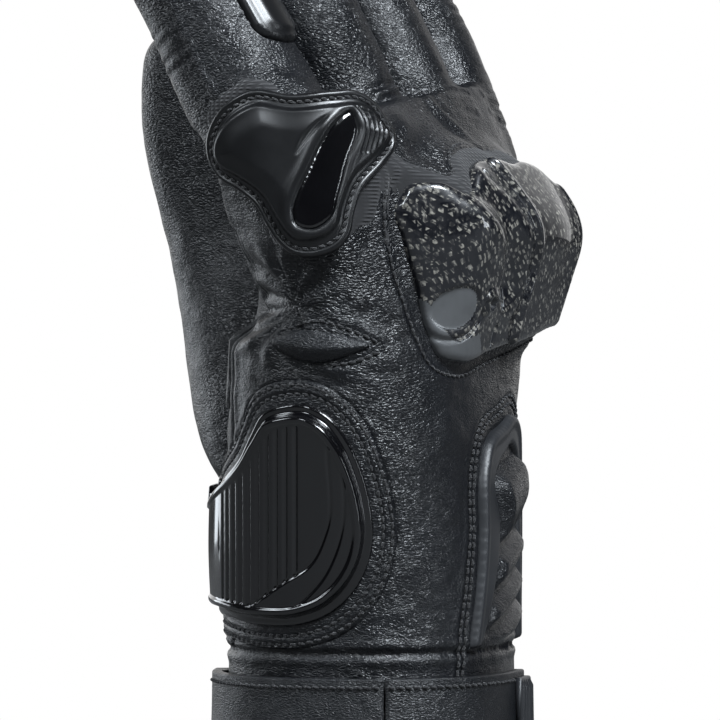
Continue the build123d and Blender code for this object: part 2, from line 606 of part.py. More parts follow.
def build():
    shell = hand_shell()
    palm = palm_side()
    cuff = (form(0) - form(-LEATHER)) & slab(BINDING_HEIGHT, CUFF_TOP)
    binding = (form(BINDING_PROUD) - form(-WALL)) & slab(0, BINDING_HEIGHT)
    gap = gap_angle()
    parts = {
        "back_panel": shell - palm,
        "palm_panel": shell & palm,
        "cuff_panel": cuff,
        "cuff_binding": binding,
        "hand_liner": hand_liner(),
        "digit_liners": Compound(children=digit_liners()),
        "thumb_stall": thumb_stall(),
        "wrist_slider": wrist_slider(),
        "slider_welt": slider_welt(),
        "side_plate": side_plate(),
        "plate_inlay": plate_inlay(),
        "plate_pad": plate_pad(),
        "knuckle_guard": knuckle_guard(),
        "guard_pad": guard_pad(),
        "guard_welt": guard_welt(),
        "stretch_frame": stretch_frame(),
        "stretch_rolls": Compound(children=stretch_rolls()),
        "side_pleat": pleat(),
        "palm_patch": palm_patch(),
        "finger_caps": Compound(children=finger_caps()),
        "strap_anchor": strap_anchor(),
        "strap_base": strap_piece(STRAP_ROOT_ANGLE + gap, STRAP_MIDDLE_ANGLE),
        "strap_end": strap_piece(STRAP_MIDDLE_ANGLE + gap, STRAP_END_ANGLE),
        "strap_hook_tape": tape(STRAP_STANDOFF - TAPE_THICKNESS - FIT / 2, STRAP_MIDDLE_ANGLE + 14,
                                STRAP_END_ANGLE - 4),
        "cuff_loop_tape": tape(SEAT, STRAP_MIDDLE_ANGLE + 6, STRAP_END_ANGLE + 6),
        "pull_tab": pull_tab(),
        "pull_loop": pull_loop(),
    }
    for name, rings in FINGERS.items():
        parts[name + "_stall"] = stall(rings)
    return parts


if __name__ == "__main__":
    os.makedirs("parts", exist_ok=True)
    for name, shape in build().items():
        solids = shape.solids()
        print(name, len(solids), round(sum(s.volume for s in solids)))
        whole = solids[0] if len(solids) == 1 else Compound(children=list(solids))
        export_step(whole, f"parts/{name}.step")
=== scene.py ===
"""Looks of the left riding glove: leather shell, stitching, mouldings and strap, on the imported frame."""
import bpy
import math
import numpy as np
from collections import namedtuple
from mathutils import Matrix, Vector
from mathutils.kdtree import KDTree


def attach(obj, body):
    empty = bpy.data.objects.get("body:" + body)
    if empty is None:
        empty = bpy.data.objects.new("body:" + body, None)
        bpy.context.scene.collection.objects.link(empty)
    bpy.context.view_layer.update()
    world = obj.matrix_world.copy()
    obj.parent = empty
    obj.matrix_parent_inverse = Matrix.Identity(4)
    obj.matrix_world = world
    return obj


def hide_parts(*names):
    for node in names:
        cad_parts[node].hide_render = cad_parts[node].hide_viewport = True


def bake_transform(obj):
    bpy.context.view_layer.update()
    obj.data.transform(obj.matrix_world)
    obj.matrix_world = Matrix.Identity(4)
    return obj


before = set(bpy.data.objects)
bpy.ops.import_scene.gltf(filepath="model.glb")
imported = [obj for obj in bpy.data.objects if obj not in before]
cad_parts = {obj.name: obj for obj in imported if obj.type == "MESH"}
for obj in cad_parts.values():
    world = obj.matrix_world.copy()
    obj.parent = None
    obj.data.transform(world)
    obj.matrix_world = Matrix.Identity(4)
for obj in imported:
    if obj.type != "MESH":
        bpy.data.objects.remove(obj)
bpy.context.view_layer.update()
MM = 0.001

# ------------------------------------------------------------------ shape of the hand, as in the model

Station = namedtuple("Station", "height half_width half_depth x y turn")
Ring = namedtuple("Ring", "x y z radius")
HAND = (Station(-14, 45.5, 34.5, 0.0, 0.0, 12), Station(0, 44.0, 33.5, 0.0, 0.0, 12),
        Station(35, 42.0, 32.6, 0.0, 0.0, 12), Station(62, 43.0, 32.8, 0.0, 0.5, 11),
        Station(85, 46.0, 31.0, 0.5, 0.0, 7), Station(106, 49.0, 29.0, 1.0, -1.5, 3),
        Station(130, 52.0, 26.0, 1.0, -2.5, 0), Station(149, 54.0, 24.5, 1.0, -1.0, 0))
WEB = Station(166, 54.0, 17.5, 1.0, 3.0, 0)
WEB_NORMAL = np.array((-0.15, 0.36, 0.92)) / np.linalg.norm((-0.15, 0.36, 0.92))
WEB_OVERRUN = 14.0
SQUARENESS = 2.4
FINGERS = {
    "pinky": (Ring(-34, 3, 140, 16.6), Ring(-37.0, 9, 157, 15.4), Ring(-38.5, 18, 172, 15.0),
              Ring(-40, 27, 189, 13.4), Ring(-40.5, 35, 200, 12.2)),
    "ring": (Ring(-11, -6.5, 146, 12.4), Ring(-10.8, -1.5, 158, 12.4), Ring(-11.5, 5.5, 173, 12.4),
             Ring(-11.5, 15.5, 191, 12.2), Ring(-11.5, 27.5, 208, 11.9), Ring(-11.5, 36.5, 217, 11.5)),
    "middle": (Ring(14, -8.5, 150, 12.5), Ring(14.5, -3.5, 162, 12.5), Ring(14.5, 2.5, 175, 12.5),
               Ring(14.5, 12.5, 193, 12.3), Ring(14.5, 26, 213, 12), Ring(14.5, 38, 226, 11.6)),
    "index": (Ring(38.5, -8, 148, 12.5), Ring(39.5, -4, 159, 12.5), Ring(40.5, 1.5, 172, 12.5),
              Ring(41.5, 11.5, 190, 12.3), Ring(42, 23.5, 208, 12), Ring(42, 34, 219, 11.6)),
}
THUMB = (Ring(16, 22, 70, 15.5), Ring(21, 32, 85, 20.8), Ring(26, 39, 98, 20.8), Ring(29, 45, 114, 18.8),
         Ring(30, 53, 136, 15.8), Ring(28, 58, 151, 14.4), Ring(25.5, 60.2, 165, 13.4),
         Ring(24, 60.4, 175, 12.5))
CUFF_TOP = 36.0
BINDING_HEIGHT = 6.0
PALM_SEAM = (20.0, 15.0)
WALL = 2.2
WEB_SEAM_HEIGHT = 160
FINGER_ROOT = 138
THREAD_SINK = 0.05

# Directions of the side view: across it, and out of the hand's outer edge.
AZIMUTH = 65.0
ACROSS = np.array((math.cos(math.radians(AZIMUTH)), -math.sin(math.radians(AZIMUTH)), 0.0))
OUT = np.array((-math.sin(math.radians(AZIMUTH)), -math.cos(math.radians(AZIMUTH)), 0.0))
BACK = np.array((0.0, -1.0, 0.0))
PALM = np.array((0.0, 1.0, 0.0))
THUMBWARD = np.array((1.0, 0.0, 0.0))
UP = np.array((0.0, 0.0, 1.0))

# ------------------------------------------------------------------ small tools


def step(low, high, x):
    """0 below low, 1 above high, smooth between them; low may be the larger one."""
    t = np.clip((x - low) / (high - low), 0, 1)
    return t * t * (3 - 2 * t)


def unit(rows):
    """Rows scaled to length one."""
    return rows / np.linalg.norm(rows, axis=1)[:, None]


def run_along(points):
    """Length from the first point to each point of a polyline."""
    return np.concatenate([[0], np.cumsum(np.linalg.norm(np.diff(points, axis=0), axis=1))])


def turned_round(count):
    """Angles of count even steps round a circle."""
    return np.linspace(0, 2 * math.pi, count + 1)[:-1]


def curve_through(knots, values, x):
    """Smooth curve through values at knots, evaluated at x; values may be vectors."""
    knots = np.asarray(knots, float)
    values = np.asarray(values, float)
    x = np.asarray(x, float)
    slopes = np.zeros_like(values)
    gaps = np.diff(knots)
    lines = np.diff(values, axis=0) / gaps.reshape((-1,) + (1,) * (values.ndim - 1))
    weight = (gaps[1:] / (gaps[:-1] + gaps[1:])).reshape((-1,) + (1,) * (values.ndim - 1))
    slopes[1:-1] = lines[:-1] * weight + lines[1:] * (1 - weight)
    slopes[0], slopes[-1] = lines[0], lines[-1]
    i = np.clip(np.searchsorted(knots, x, side="right") - 1, 0, len(knots) - 2)
    h = gaps[i]
    t = (x - knots[i]) / h
    shape = t.shape + (1,) * (values.ndim - 1)
    t, h = t.reshape(shape), h.reshape(shape)
    a = (1 + 2 * t) * (1 - t) ** 2
    b = t * (1 - t) ** 2
    c = t * t * (3 - 2 * t)
    d = t * t * (t - 1)
    return a * values[i] + b * h * slopes[i] + c * values[i + 1] + d * h * slopes[i + 1]


def smooth_path(points, pitch, closed=False):
    """Points resampled evenly, pitch apart, on a smooth curve through them."""
    points = np.asarray(points, float)
    if closed:
        points = np.vstack([points[-2:], points, points[:3]])
    knots = np.concatenate([[0], np.cumsum(np.linalg.norm(np.diff(points, axis=0), axis=1) + 1e-9)])
    lo, hi = (knots[2], knots[-3]) if closed else (knots[0], knots[-1])
    fine = curve_through(knots, points, np.linspace(lo, hi, max(int((hi - lo) / 0.25), 8)))
    run = run_along(fine)
    count = max(int(round(run[-1] / pitch)), 2)
    at = np.linspace(0, run[-1], count + 1)
    if closed:
        at = at[:-1]
    return np.stack([np.interp(at, run, fine[:, k]) for k in range(fine.shape[1])], axis=1)


def distance_to(path, q, closed=False):
    """Distance of each 2-D point of q to a polyline."""
    path = np.asarray(path, float)
    if closed:
        path = np.vstack([path, path[:1]])
    best = np.full(len(q), 1e9)
    for a, b in zip(path[:-1], path[1:]):
        ab = b - a
        t = np.clip(((q - a) @ ab) / max(ab @ ab, 1e-12), 0, 1)
        best = np.minimum(best, np.linalg.norm(q - a - t[:, None] * ab, axis=1))
    return best


def inside(path, q):
    """Whether each 2-D point of q lies inside a closed polyline."""
    path = np.asarray(path, float)
    result = np.zeros(len(q), bool)
    x, y = q[:, 0], q[:, 1]
    j = len(path) - 1
    for i in range(len(path)):
        (xi, yi), (xj, yj) = path[i], path[j]
        cross = (yi > y) != (yj > y)
        slope = (xj - xi) * (y - yi) / (yj - yi if yj != yi else 1e-12) + xi
        result ^= cross & (x < slope)
        j = i
    return result


def depth_inside(path, q):
    """Distance to a closed polyline, negative outside."""
    d = distance_to(path, q, closed=True)
    return np.where(inside(path, q), d, -d)


TABLE = np.random.default_rng(7).uniform(-1, 1, (32, 32, 32))


def noise(q, size):
    """Smooth value noise of about one bump per size, from -1 to 1."""
    g = q / size + 1000.0
    base = np.floor(g).astype(int)
    t = g - base
    t = t * t * (3 - 2 * t)
    total = 0
    for dx in (0, 1):
        for dy in (0, 1):
            for dz in (0, 1):
                w = (t[:, 0] if dx else 1 - t[:, 0]) * (t[:, 1] if dy else 1 - t[:, 1])
                w = w * (t[:, 2] if dz else 1 - t[:, 2])
                corner = (base + (dx, dy, dz)) % 32
                total = total + w * TABLE[corner[:, 0], corner[:, 1], corner[:, 2]]
    return total


def mesh_object(name, verts, faces, material, body=None):
    """A smooth-shaded mesh object from millimetre vertices."""
    mesh = bpy.data.meshes.new(name)
    mesh.from_pydata((np.asarray(verts) * MM).tolist(), [], [tuple(int(i) for i in f) for f in faces])
    mesh.validate()
    mesh.update()
    mesh.polygons.foreach_set("use_smooth", np.ones(len(mesh.polygons), bool))
    obj = bpy.data.objects.new(name, mesh)
    bpy.context.scene.collection.objects.link(obj)
    if material:
        mesh.materials.append(material)
    if body:
        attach(obj, body)
    return obj


def read_mesh(obj):
    """Millimetre vertices and vertex normals of an object's mesh."""
    mesh = obj.data
    n = len(mesh.vertices)
    co, no = np.empty(n * 3), np.empty(n * 3)
    mesh.vertices.foreach_get("co", co)
    mesh.vertex_normals.foreach_get("vector", no)
    return co.reshape(-1, 3) / MM, no.reshape(-1, 3)


def write_mesh(obj, co):
    """Moves a mesh's vertices to millimetre places."""
    obj.data.vertices.foreach_set("co", (co * MM).ravel())
    obj.data.update()


def grid_faces(rows, columns, closed=True):
    """Quads of a grid of rows by columns, closed along its columns when asked."""
    faces = []
    span = columns if closed else columns - 1
    for r in range(rows - 1):
        for c in range(span):
            a, b = r * columns + c, r * columns + (c + 1) % columns
            faces.append((a, b, b + columns, a + columns))
    return faces


# ------------------------------------------------------------------ the hand's surface


def oval(half_width, half_depth, phi):
    """Places on a squared-off oval."""
    c, s = np.cos(phi), np.sin(phi)
    return (half_width * np.sign(c) * np.abs(c) ** (2 / SQUARENESS),
            half_depth * np.sign(s) * np.abs(s) ** (2 / SQUARENESS))


def station_ring(s, phi, grow):
    x, y = oval(s.half_width + grow, s.half_depth + grow, phi)
    t = math.radians(s.turn)
    return np.stack([x * math.cos(t) - y * math.sin(t) + s.x, x * math.sin(t) + y * math.cos(t) + s.y,
                     np.full_like(phi, s.height)], axis=1)


def web_ring(raised, phi, grow):
    x, y = oval(WEB.half_width + grow, WEB.half_depth + grow, phi)
    x_dir = np.array((1, 0, -WEB_NORMAL[0] / WEB_NORMAL[2]))
    x_dir /= np.linalg.norm(x_dir)
    y_dir = np.cross(WEB_NORMAL, x_dir)
    origin = np.array((0, 0, WEB.height)) + WEB_NORMAL * raised
    return origin + np.outer(x + WEB.x, x_dir) + np.outer(y + WEB.y, y_dir)


def hand_rows(phi, levels, grow=0.0):
    """Rings of the hand at levels from -14 to 166, the web, in one array."""
    rings = [station_ring(s, phi, grow) for s in HAND]
    rings += [web_ring(-0.6, phi, grow), web_ring(WEB_OVERRUN, phi, grow)]
    knots = [s.height for s in HAND] + [165.5, 180.0]
    return curve_through(knots, np.array(rings), levels)


TABLE_PHI = turned_round(720)
TABLE_Z = np.arange(-3.0, 163.1, 0.5)
TABLE_POINTS = hand_rows(TABLE_PHI, TABLE_Z)


def spot(direction, across, a, z):
    """Points of the hand's surface on the side that faces direction, at a along across and height z."""
    a, z = np.broadcast_arrays(np.asarray(a, float), np.asarray(z, float))
    result = np.empty((len(a), 3))
    row = np.clip(np.round((z - TABLE_Z[0]) * 2).astype(int), 0, len(TABLE_Z) - 1)
    for r in np.unique(row):
        ring = TABLE_POINTS[r]
        along, facing = ring @ across, ring @ direction
        lo, hi = np.argmin(along), np.argmax(along)
        n = len(ring)
        forward = np.arange(lo, lo + (hi - lo) % n + 1) % n
        backward = np.arange(lo, lo - (lo - hi) % n - 1, -1) % n
        way = forward if facing[forward].mean() > facing[backward].mean() else backward
        pick = row == r
        for k in range(3):
            result[pick, k] = np.interp(a[pick], along[way], ring[way, k])
    result[:, 2] = z
    return result


# Unrolled hand: arc length round each ring from the little-finger edge, positive to the back.
EDGE = int(np.argmin(TABLE_POINTS[0] @ THUMBWARD))
TURNED = np.roll(TABLE_POINTS, -EDGE, axis=1)
LENGTHS = np.concatenate([np.zeros((len(TABLE_Z), 1)), np.cumsum(np.linalg.norm(
    np.diff(np.concatenate([TURNED, TURNED[:, :1]], axis=1), axis=1), axis=2), axis=1)], axis=1)


def unrolled(point):
    """Arc length and height of the surface point nearest to a point."""
    r = int(np.clip(round((point[2] - TABLE_Z[0]) * 2), 0, len(TABLE_Z) - 1))
    k = int(np.argmin(np.linalg.norm(TURNED[r, :, :2] - point[:2], axis=1)))
    s = LENGTHS[r, k]
    return (s if s < LENGTHS[r, -1] / 2 else s - LENGTHS[r, -1]), point[2]


def rolled(s, z):
    """Points of the hand's surface at arc length s and height z."""
    s, z = np.asarray(s, float), np.asarray(z, float)
    points = np.empty((len(s), 3))
    row = np.clip((z - TABLE_Z[0]) * 2, 0, len(TABLE_Z) - 1.001)
    for r in np.unique(row.astype(int)):
        pick = row.astype(int) == r
        part = []
        for q in (r, r + 1):
            ring = np.vstack([TURNED[q], TURNED[q, :1]])
            at = np.mod(s[pick], LENGTHS[q, -1])
            part.append(np.stack([np.interp(at, LENGTHS[q], ring[:, k]) for k in range(3)], axis=1))
        t = (row[pick] - r)[:, None]
        points[pick] = part[0] * (1 - t) + part[1] * t
    return points


def digit_line(rings):
    """Centres, radii and running lengths of a digit's rings."""
    centres = np.array([(r.x, r.y, r.z) for r in rings], float)
    return centres, np.array([r.radius for r in rings]), run_along(centres)


def end_fans(verts, faces, rows, columns):
    """Adds to a tube's faces the fans that close it at its last two points."""
    for c in range(columns):
        n = (c + 1) % columns
        faces.append((len(verts) - 2, n, c))
        faces.append((len(verts) - 1, (rows - 1) * columns + c, (rows - 1) * columns + n))
    return verts, faces


def tube(rings, grow, columns=64, pitch=1.0):
    """A digit as a closed tube of circles with a rounded end."""
    centres, radii, knots = digit_line(rings)
    radii = radii + grow
    count = int(knots[-1] / pitch)
    at = np.linspace(0, knots[-1], count)
    path = curve_through(knots, centres, at)
    r = curve_through(knots, radii, at)
    ways = unit(np.gradient(path, axis=0))
    tip, radius, way = path[-1], r[-1], ways[-1]
    turns = np.radians(np.linspace(8, 88, 14))
    path = np.vstack([path, tip + np.outer(np.sin(turns) * radius, way)])
    r = np.concatenate([r, np.cos(turns) * radius])
    ways = np.vstack([ways, np.repeat(way[None], len(turns), 0)])
    phi = turned_round(columns)
    sideways = unit(np.cross(ways, THUMBWARD))
    third = np.cross(sideways, ways)
    verts = (path[:, None] + r[:, None, None] * (np.cos(phi)[None, :, None] * third[:, None]
                                                + np.sin(phi)[None, :, None] * sideways[:, None]))
    rows = len(path)
    verts = verts.reshape(-1, 3)
    faces = grid_faces(rows, columns)
    return end_fans(np.vstack([verts, path[:1], path[-1:]]), faces, rows, columns)


def closed_hand(grow, low, high, columns=420, pitch=1.0):
    """The hand without its digits, closed at both ends."""
    phi = turned_round(columns)
    levels = np.arange(low, high + 0.01, pitch)
    rows = hand_rows(phi, levels, grow)
    verts = np.vstack([rows.reshape(-1, 3), rows[0].mean(0)[None], rows[-1].mean(0)[None]])
    return end_fans(verts, grid_faces(len(levels), columns), len(levels), columns)


def gap_to_digit(rings, q):
    """Distance outside a digit's surface."""
    centres, radii, _ = digit_line(rings)
    best = np.full(len(q), 1e9)
    for i in range(len(rings) - 1):
        ab = centres[i + 1] - centres[i]
        t = np.clip(((q - centres[i]) @ ab) / (ab @ ab), 0, 1)
        radius = radii[i] * (1 - t) + radii[i + 1] * t
        d = np.linalg.norm(q - centres[i] - t[:, None] * ab, axis=1) - radius
        best = np.where(d < best, d, best)
    return best


# ------------------------------------------------------------------ outlines on the side view or the back

SLIDER = ((-24.6, 91.4), (-20.4, 93.3), (-14.0, 93.3), (-9.7, 90.7), (-5.5, 85.2), (-2.5, 78.4),
          (-0.6, 71.2), (0.1, 62.6), (-1.2, 56.3), (-5.5, 49.0), (-9.7, 45.2), (-16.1, 42.7),
          (-24.7, 42.3), (-32.0, 43.6))
SLIDER_TOP = ((-36.5, 73.4), (-33.1, 76.3), (-29.7, 81.0), (-27.1, 86.5))
SLIDER_END_X = -12.0
PLATE = ((-29.0, 166.8), (-19.9, 165.6), (-10.7, 166.5), (-4.7, 166.7), (-0.7, 164.5), (1.4, 161.8),
         (4.4, 156.3), (4.4, 153.6), (1.4, 149.0), (-3.1, 143.6), (-4.7, 139.0), (-6.1, 133.1),
         (-8.2, 130.5), (-11.3, 129.0), (-15.6, 128.3), (-19.7, 129.3), (-22.9, 132.0), (-25.6, 136.0),
         (-28.2, 140.5), (-32.0, 143.6), (-36.6, 146.7), (-38.8, 150.2), (-39.6, 155.7), (-36.6, 162.4))
INLAY = ((-6.8, 161.4), (-5.2, 157.9), (-7.4, 149.6), (-9.2, 142.1), (-10.6, 137.0), (-14.4, 134.5),
         (-18.0, 135.4), (-19.2, 138.7), (-18.4, 142.4), (-15.9, 148.1), (-13.2, 154.2), (-9.8, 159.4))
PLATE_RADIUS, PLATE_FRONT, PLATE_HEIGHT, PLATE_LEAN = 27.0, (-54.6, -7.4), 148.0, math.radians(13)
PLATE_AXIS_U, PLATE_AXIS_SLOPE = -16.37, 0.209
PLATE_RIGHT, PLATE_SPREAD, PLATE_DROP = 4.4, 0.045, 1.5
Arch = namedtuple("Arch", "height left right left_y right_y shoulder crown")
GUARD = (Arch(96, -26.0, 31.0, -28.5, -27.5, -31.0, -31.5),
         Arch(112, -31.5, 37.0, -27.5, -25.0, -34.5, -35.8),
         Arch(124, -35.5, 41.0, -25.5, -21.5, -37.0, -39.0),
         Arch(135, -37.0, 42.0, -24.5, -19.5, -38.2, -41.4),
         Arch(146, -36.5, 41.5, -24.5, -19.5, -33.8, -35.8),
         Arch(158, -34.0, 38.0, -23.0, -19.0, -25.0, -27.0))
GUARD_OUTLINE = ((-37.0, 140.0), (-35.5, 143.8), (-31.0, 145.0), (-24.5, 143.4), (-20.0, 145.0),
                 (-16.5, 148.2), (-10.0, 150.6), (-3.0, 151.2), (6.0, 150.0), (14.0, 150.8), (21.0, 149.5),
                 (27.0, 146.0), (33.0, 146.8), (38.5, 144.6), (41.0, 139.0), (40.5, 129.0), (36.5, 118.0),
                 (31.0, 112.8), (22.0, 110.8), (8.0, 108.0), (-7.0, 105.0), (-21.0, 102.8), (-26.5, 104.2),
                 (-29.5, 109.0), (-33.5, 120.0), (-36.5, 131.0))
GUARD_BLOCK = ((-4.5, 153.0), (-1.3, 142.0), (2.0, 133.0), (4.0, 126.0), (2.5, 117.0), (3.0, 106.0),
               (16.0, 100.0), (27.0, 106.0), (28.0, 120.0), (30.0, 133.0), (28.5, 144.0), (24.0, 154.0),
               (10.0, 158.0))
FRAME_FOOT, ROLL_FOOT = 36.6, 36.9
FRAME_OUTER = ((-18.5, 36.6), (-15.6, 49.0), (-13.0, 62.6), (-10.0, 78.0), (-6.0, 84.0), (5.0, 88.0),
               (15.0, 90.6), (21.0, 87.5), (24.5, 77.0), (26.0, 60.0), (27.0, 36.6))
FRAME_INNER = ((-14.0, 36.6), (-9.8, 44.0), (-6.4, 51.2), (-3.0, 60.3), (-2.0, 67.1), (-3.8, 74.6),
               (0.0, 78.6), (6.0, 81.3), (12.0, 83.4), (17.0, 81.0), (19.6, 74.0), (19.2, 64.0),
               (20.8, 54.0), (22.2, 44.0), (23.4, 36.6))
PUFF_TOP = ((-23.4, 108.2), (-19.5, 110.2), (-13.5, 110.6), (-6.5, 109.0), (-0.4, 107.1))
PUFF_LOW = ((-0.4, 107.1), (-6.5, 104.2), (-13.6, 102.9), (-19.0, 104.4), (-23.4, 108.2))
PUFF = PUFF_TOP + PUFF_LOW[1:-1]


def side_2d(q):
    return np.stack([q @ ACROSS, q[:, 2]], axis=1)


def back_2d(q):
    return np.stack([q[:, 0], q[:, 2]], axis=1)


def guard_y(x, z):
    """Height of the guard's outer surface on the back of the hand."""
    heights = [a.height for a in GUARD]
    left = curve_through(heights, [a.left for a in GUARD], np.clip(z, 96, 158))
    right = curve_through(heights, [a.right for a in GUARD], np.clip(z, 96, 158))
    f = np.clip((x - left) / (right - left), 0, 1)
    places = np.linspace(0, 1, 41)
    rows = [curve_through((0, 0.13, 0.36, 0.56, 0.74, 0.9, 1),
                          (a.left_y, a.shoulder, (a.shoulder + 2 * a.crown) / 3, a.crown,
                           (a.shoulder + 3 * a.crown) / 4, a.shoulder + 1.5, a.right_y), places)
            for a in GUARD]
    sheet = curve_through(heights, np.array(rows), np.clip(z, 96, 158))
    k = np.clip((f * 40).astype(int), 0, 39)
    t = f * 40 - k
    i = np.arange(len(f))
    return sheet[i, k] * (1 - t) + sheet[i, k + 1] * t


PLATE_AXIS = np.array((*PLATE_FRONT, PLATE_HEIGHT)) - OUT * PLATE_RADIUS
PLATE_WAY = np.array((0.0, math.sin(PLATE_LEAN), math.cos(PLATE_LEAN)))


def plate_surface(u, z):
    """Points and outward normals of the plate's cylinder under the side view's u and z."""
    start = np.outer(u, ACROSS) + np.outer(z, UP) - PLATE_AXIS
    flat_start = start - np.outer(start @ PLATE_WAY, PLATE_WAY)
    flat_out = OUT - (OUT @ PLATE_WAY) * PLATE_WAY
    a = flat_out @ flat_out
    b = flat_start @ flat_out
    c = (flat_start ** 2).sum(1) - PLATE_RADIUS ** 2
    w = (-b + np.sqrt(np.maximum(b * b - a * c, 0))) / a
    point = start + w[:, None] * OUT
    flat = point - np.outer(point @ PLATE_WAY, PLATE_WAY)
    return point + PLATE_AXIS, unit(flat)


# ------------------------------------------------------------------ materials


def new_material(name):
    material = bpy.data.materials.new(name)
    material.use_nodes = True
    tree = material.node_tree
    tree.nodes.clear()
    out = tree.nodes.new("ShaderNodeOutputMaterial")
    shader = tree.nodes.new("ShaderNodeBsdfPrincipled")
    tree.links.new(shader.outputs[0], out.inputs[0])
    where = tree.nodes.new("ShaderNodeTexCoord")
    return material, tree, shader, where.outputs["Object"]


def node(tree, kind, **values):
    made = tree.nodes.new(kind)
    for key, value in values.items():
        if key in made.inputs:
            made.inputs[key].default_value = value
        else:
            setattr(made, key, value)
    return made


def mapped(tree, where, stretch=(1, 1, 1), turn=(0, 0, 0)):
    """Places stretched along the axes and turned."""
    mapping = node(tree, "ShaderNodeMapping", Scale=stretch, Rotation=turn)
    tree.links.new(where, mapping.inputs["Vector"])
    return mapping.outputs[0]


def warped(tree, where, scale, amount):
    """Places moved about by a coloured noise."""
    warp = node(tree, "ShaderNodeTexNoise", Scale=scale, Detail=2.0)
    tree.links.new(where, warp.inputs["Vector"])
    moved = node(tree, "ShaderNodeVectorMath", operation="MULTIPLY_ADD")
    moved.inputs[1].default_value = amount
    tree.links.new(warp.outputs["Color"], moved.inputs[0])
    tree.links.new(where, moved.inputs[2])
    return moved.outputs[0]


def noise_node(tree, where, scale, detail=3.0, rough=0.5, stretch=(1, 1, 1)):
    made = node(tree, "ShaderNodeTexNoise", Scale=scale, Detail=detail, Roughness=rough)
    tree.links.new(mapped(tree, where, stretch), made.inputs["Vector"])
    return made.outputs["Fac"]


def cell_node(tree, where, scale, stretch):
    """Distance to the edges of stretched cells."""
    made = node(tree, "ShaderNodeTexVoronoi", feature="DISTANCE_TO_EDGE", Scale=scale, Randomness=1.0)
    tree.links.new(mapped(tree, where, stretch), made.inputs["Vector"])
    return made.outputs["Distance"]


def ramp(tree, value, stops):
    made = node(tree, "ShaderNodeValToRGB")
    elements = made.color_ramp.elements
    while len(elements) < len(stops):
        elements.new(0.5)
    for element, (at, shade) in zip(elements, stops):
        element.position = at
        element.color = (*shade, 1) if isinstance(shade, tuple) else (shade, shade, shade, 1)
    tree.links.new(value, made.inputs[0])
    return made.outputs[0]


def math_node(tree, kind, *values):
    """Arithmetic on sockets or plain numbers."""
    made = node(tree, "ShaderNodeMath", operation=kind)
    for i, value in enumerate(values):
        if isinstance(value, (int, float)):
            made.inputs[i].default_value = value
        else:
            tree.links.new(value, made.inputs[i])
    return made.outputs[0]


def bump(tree, height, distance, strength=1.0, after=None):
    made = node(tree, "ShaderNodeBump", Strength=strength, Distance=distance)
    tree.links.new(height, made.inputs["Height"])
    if after is not None:
        tree.links.new(after, made.inputs["Normal"])
    return made.outputs[0]


def leather(name, colour, rough=(0.36, 0.52), grain=820.0, crease=1.0):
    """Black goatskin: flat cells across the hand, finer pores, soft folds, worn roughness."""
    material, tree, shader, where = new_material(name)
    bent = warped(tree, where, 260.0, (0.0018, 0.0018, 0.0018))
    cells = cell_node(tree, bent, grain, (1, 1, 2.3))
    pores = cell_node(tree, bent, grain * 2.4, (1, 1, 1.5))
    patchy = ramp(tree, noise_node(tree, where, 42.0, 3.0), [(0.38, 0.3), (0.62, 1.0)])
    place = node(tree, "ShaderNodeSeparateXYZ")
    tree.links.new(where, place.inputs[0])
    raised = math_node(tree, "MULTIPLY", place.outputs["Z"], 5.0)
    above_wrist = ramp(tree, raised, [(0.42, 0.5), (0.6, 1.0)])
    strength = math_node(tree, "MULTIPLY", patchy, above_wrist)
    net = math_node(tree, "MULTIPLY", ramp(tree, cells, [(0.0, 0.0), (0.16, 0.5), (0.5, 1.0)]), strength)
    height = math_node(tree, "ADD", math_node(tree, "MULTIPLY", net, 0.86),
                       math_node(tree, "MULTIPLY", ramp(tree, pores, [(0.0, 0.0), (0.25, 1.0)]), 0.14))
    fine = bump(tree, height, 0.0003, 1.0)
    folds = noise_node(tree, where, 150.0, 3.0, 0.55, stretch=(1, 1, 1.5))
    big = bump(tree, folds, 0.0011 * crease, 0.6, fine)
    tree.links.new(big, shader.inputs["Normal"])
    tone = noise_node(tree, where, 60.0, 4.0, 0.6)
    dark = tuple(c * 0.6 for c in colour)
    tree.links.new(ramp(tree, tone, [(0.3, dark), (0.72, colour)]), shader.inputs["Base Color"])
    low, high = rough
    tree.links.new(ramp(tree, noise_node(tree, where, 110.0, 3.0), [(0.3, low), (0.75, high)]),
                   shader.inputs["Roughness"])
    shader.inputs["Specular IOR Level"].default_value = 0.5
    return material


def moulding(name, colour, rough, coat=0.0, speckle=0.00003, wear=0.06):
    """Moulded plastic or rubber with a fine spark-eroded skin and slight wear."""
    material, tree, shader, where = new_material(name)
    skin = noise_node(tree, where, 2600.0, 2.0)
    smudge = noise_node(tree, where, 75.0, 4.0, 0.6)
    tree.links.new(bump(tree, skin, speckle, 0.5), shader.inputs["Normal"])
    lighter = tuple(c * 1.6 + 0.0006 for c in colour)
    tree.links.new(ramp(tree, smudge, [(0.35, colour), (0.8, lighter)]), shader.inputs["Base Color"])
    tree.links.new(ramp(tree, smudge, [(0.3, rough), (0.8, rough + wear)]), shader.inputs["Roughness"])
    shader.inputs["Specular IOR Level"].default_value = 0.5
    shader.inputs["Coat Weight"].default_value = coat
    shader.inputs["Coat Roughness"].default_value = 0.05
    return material


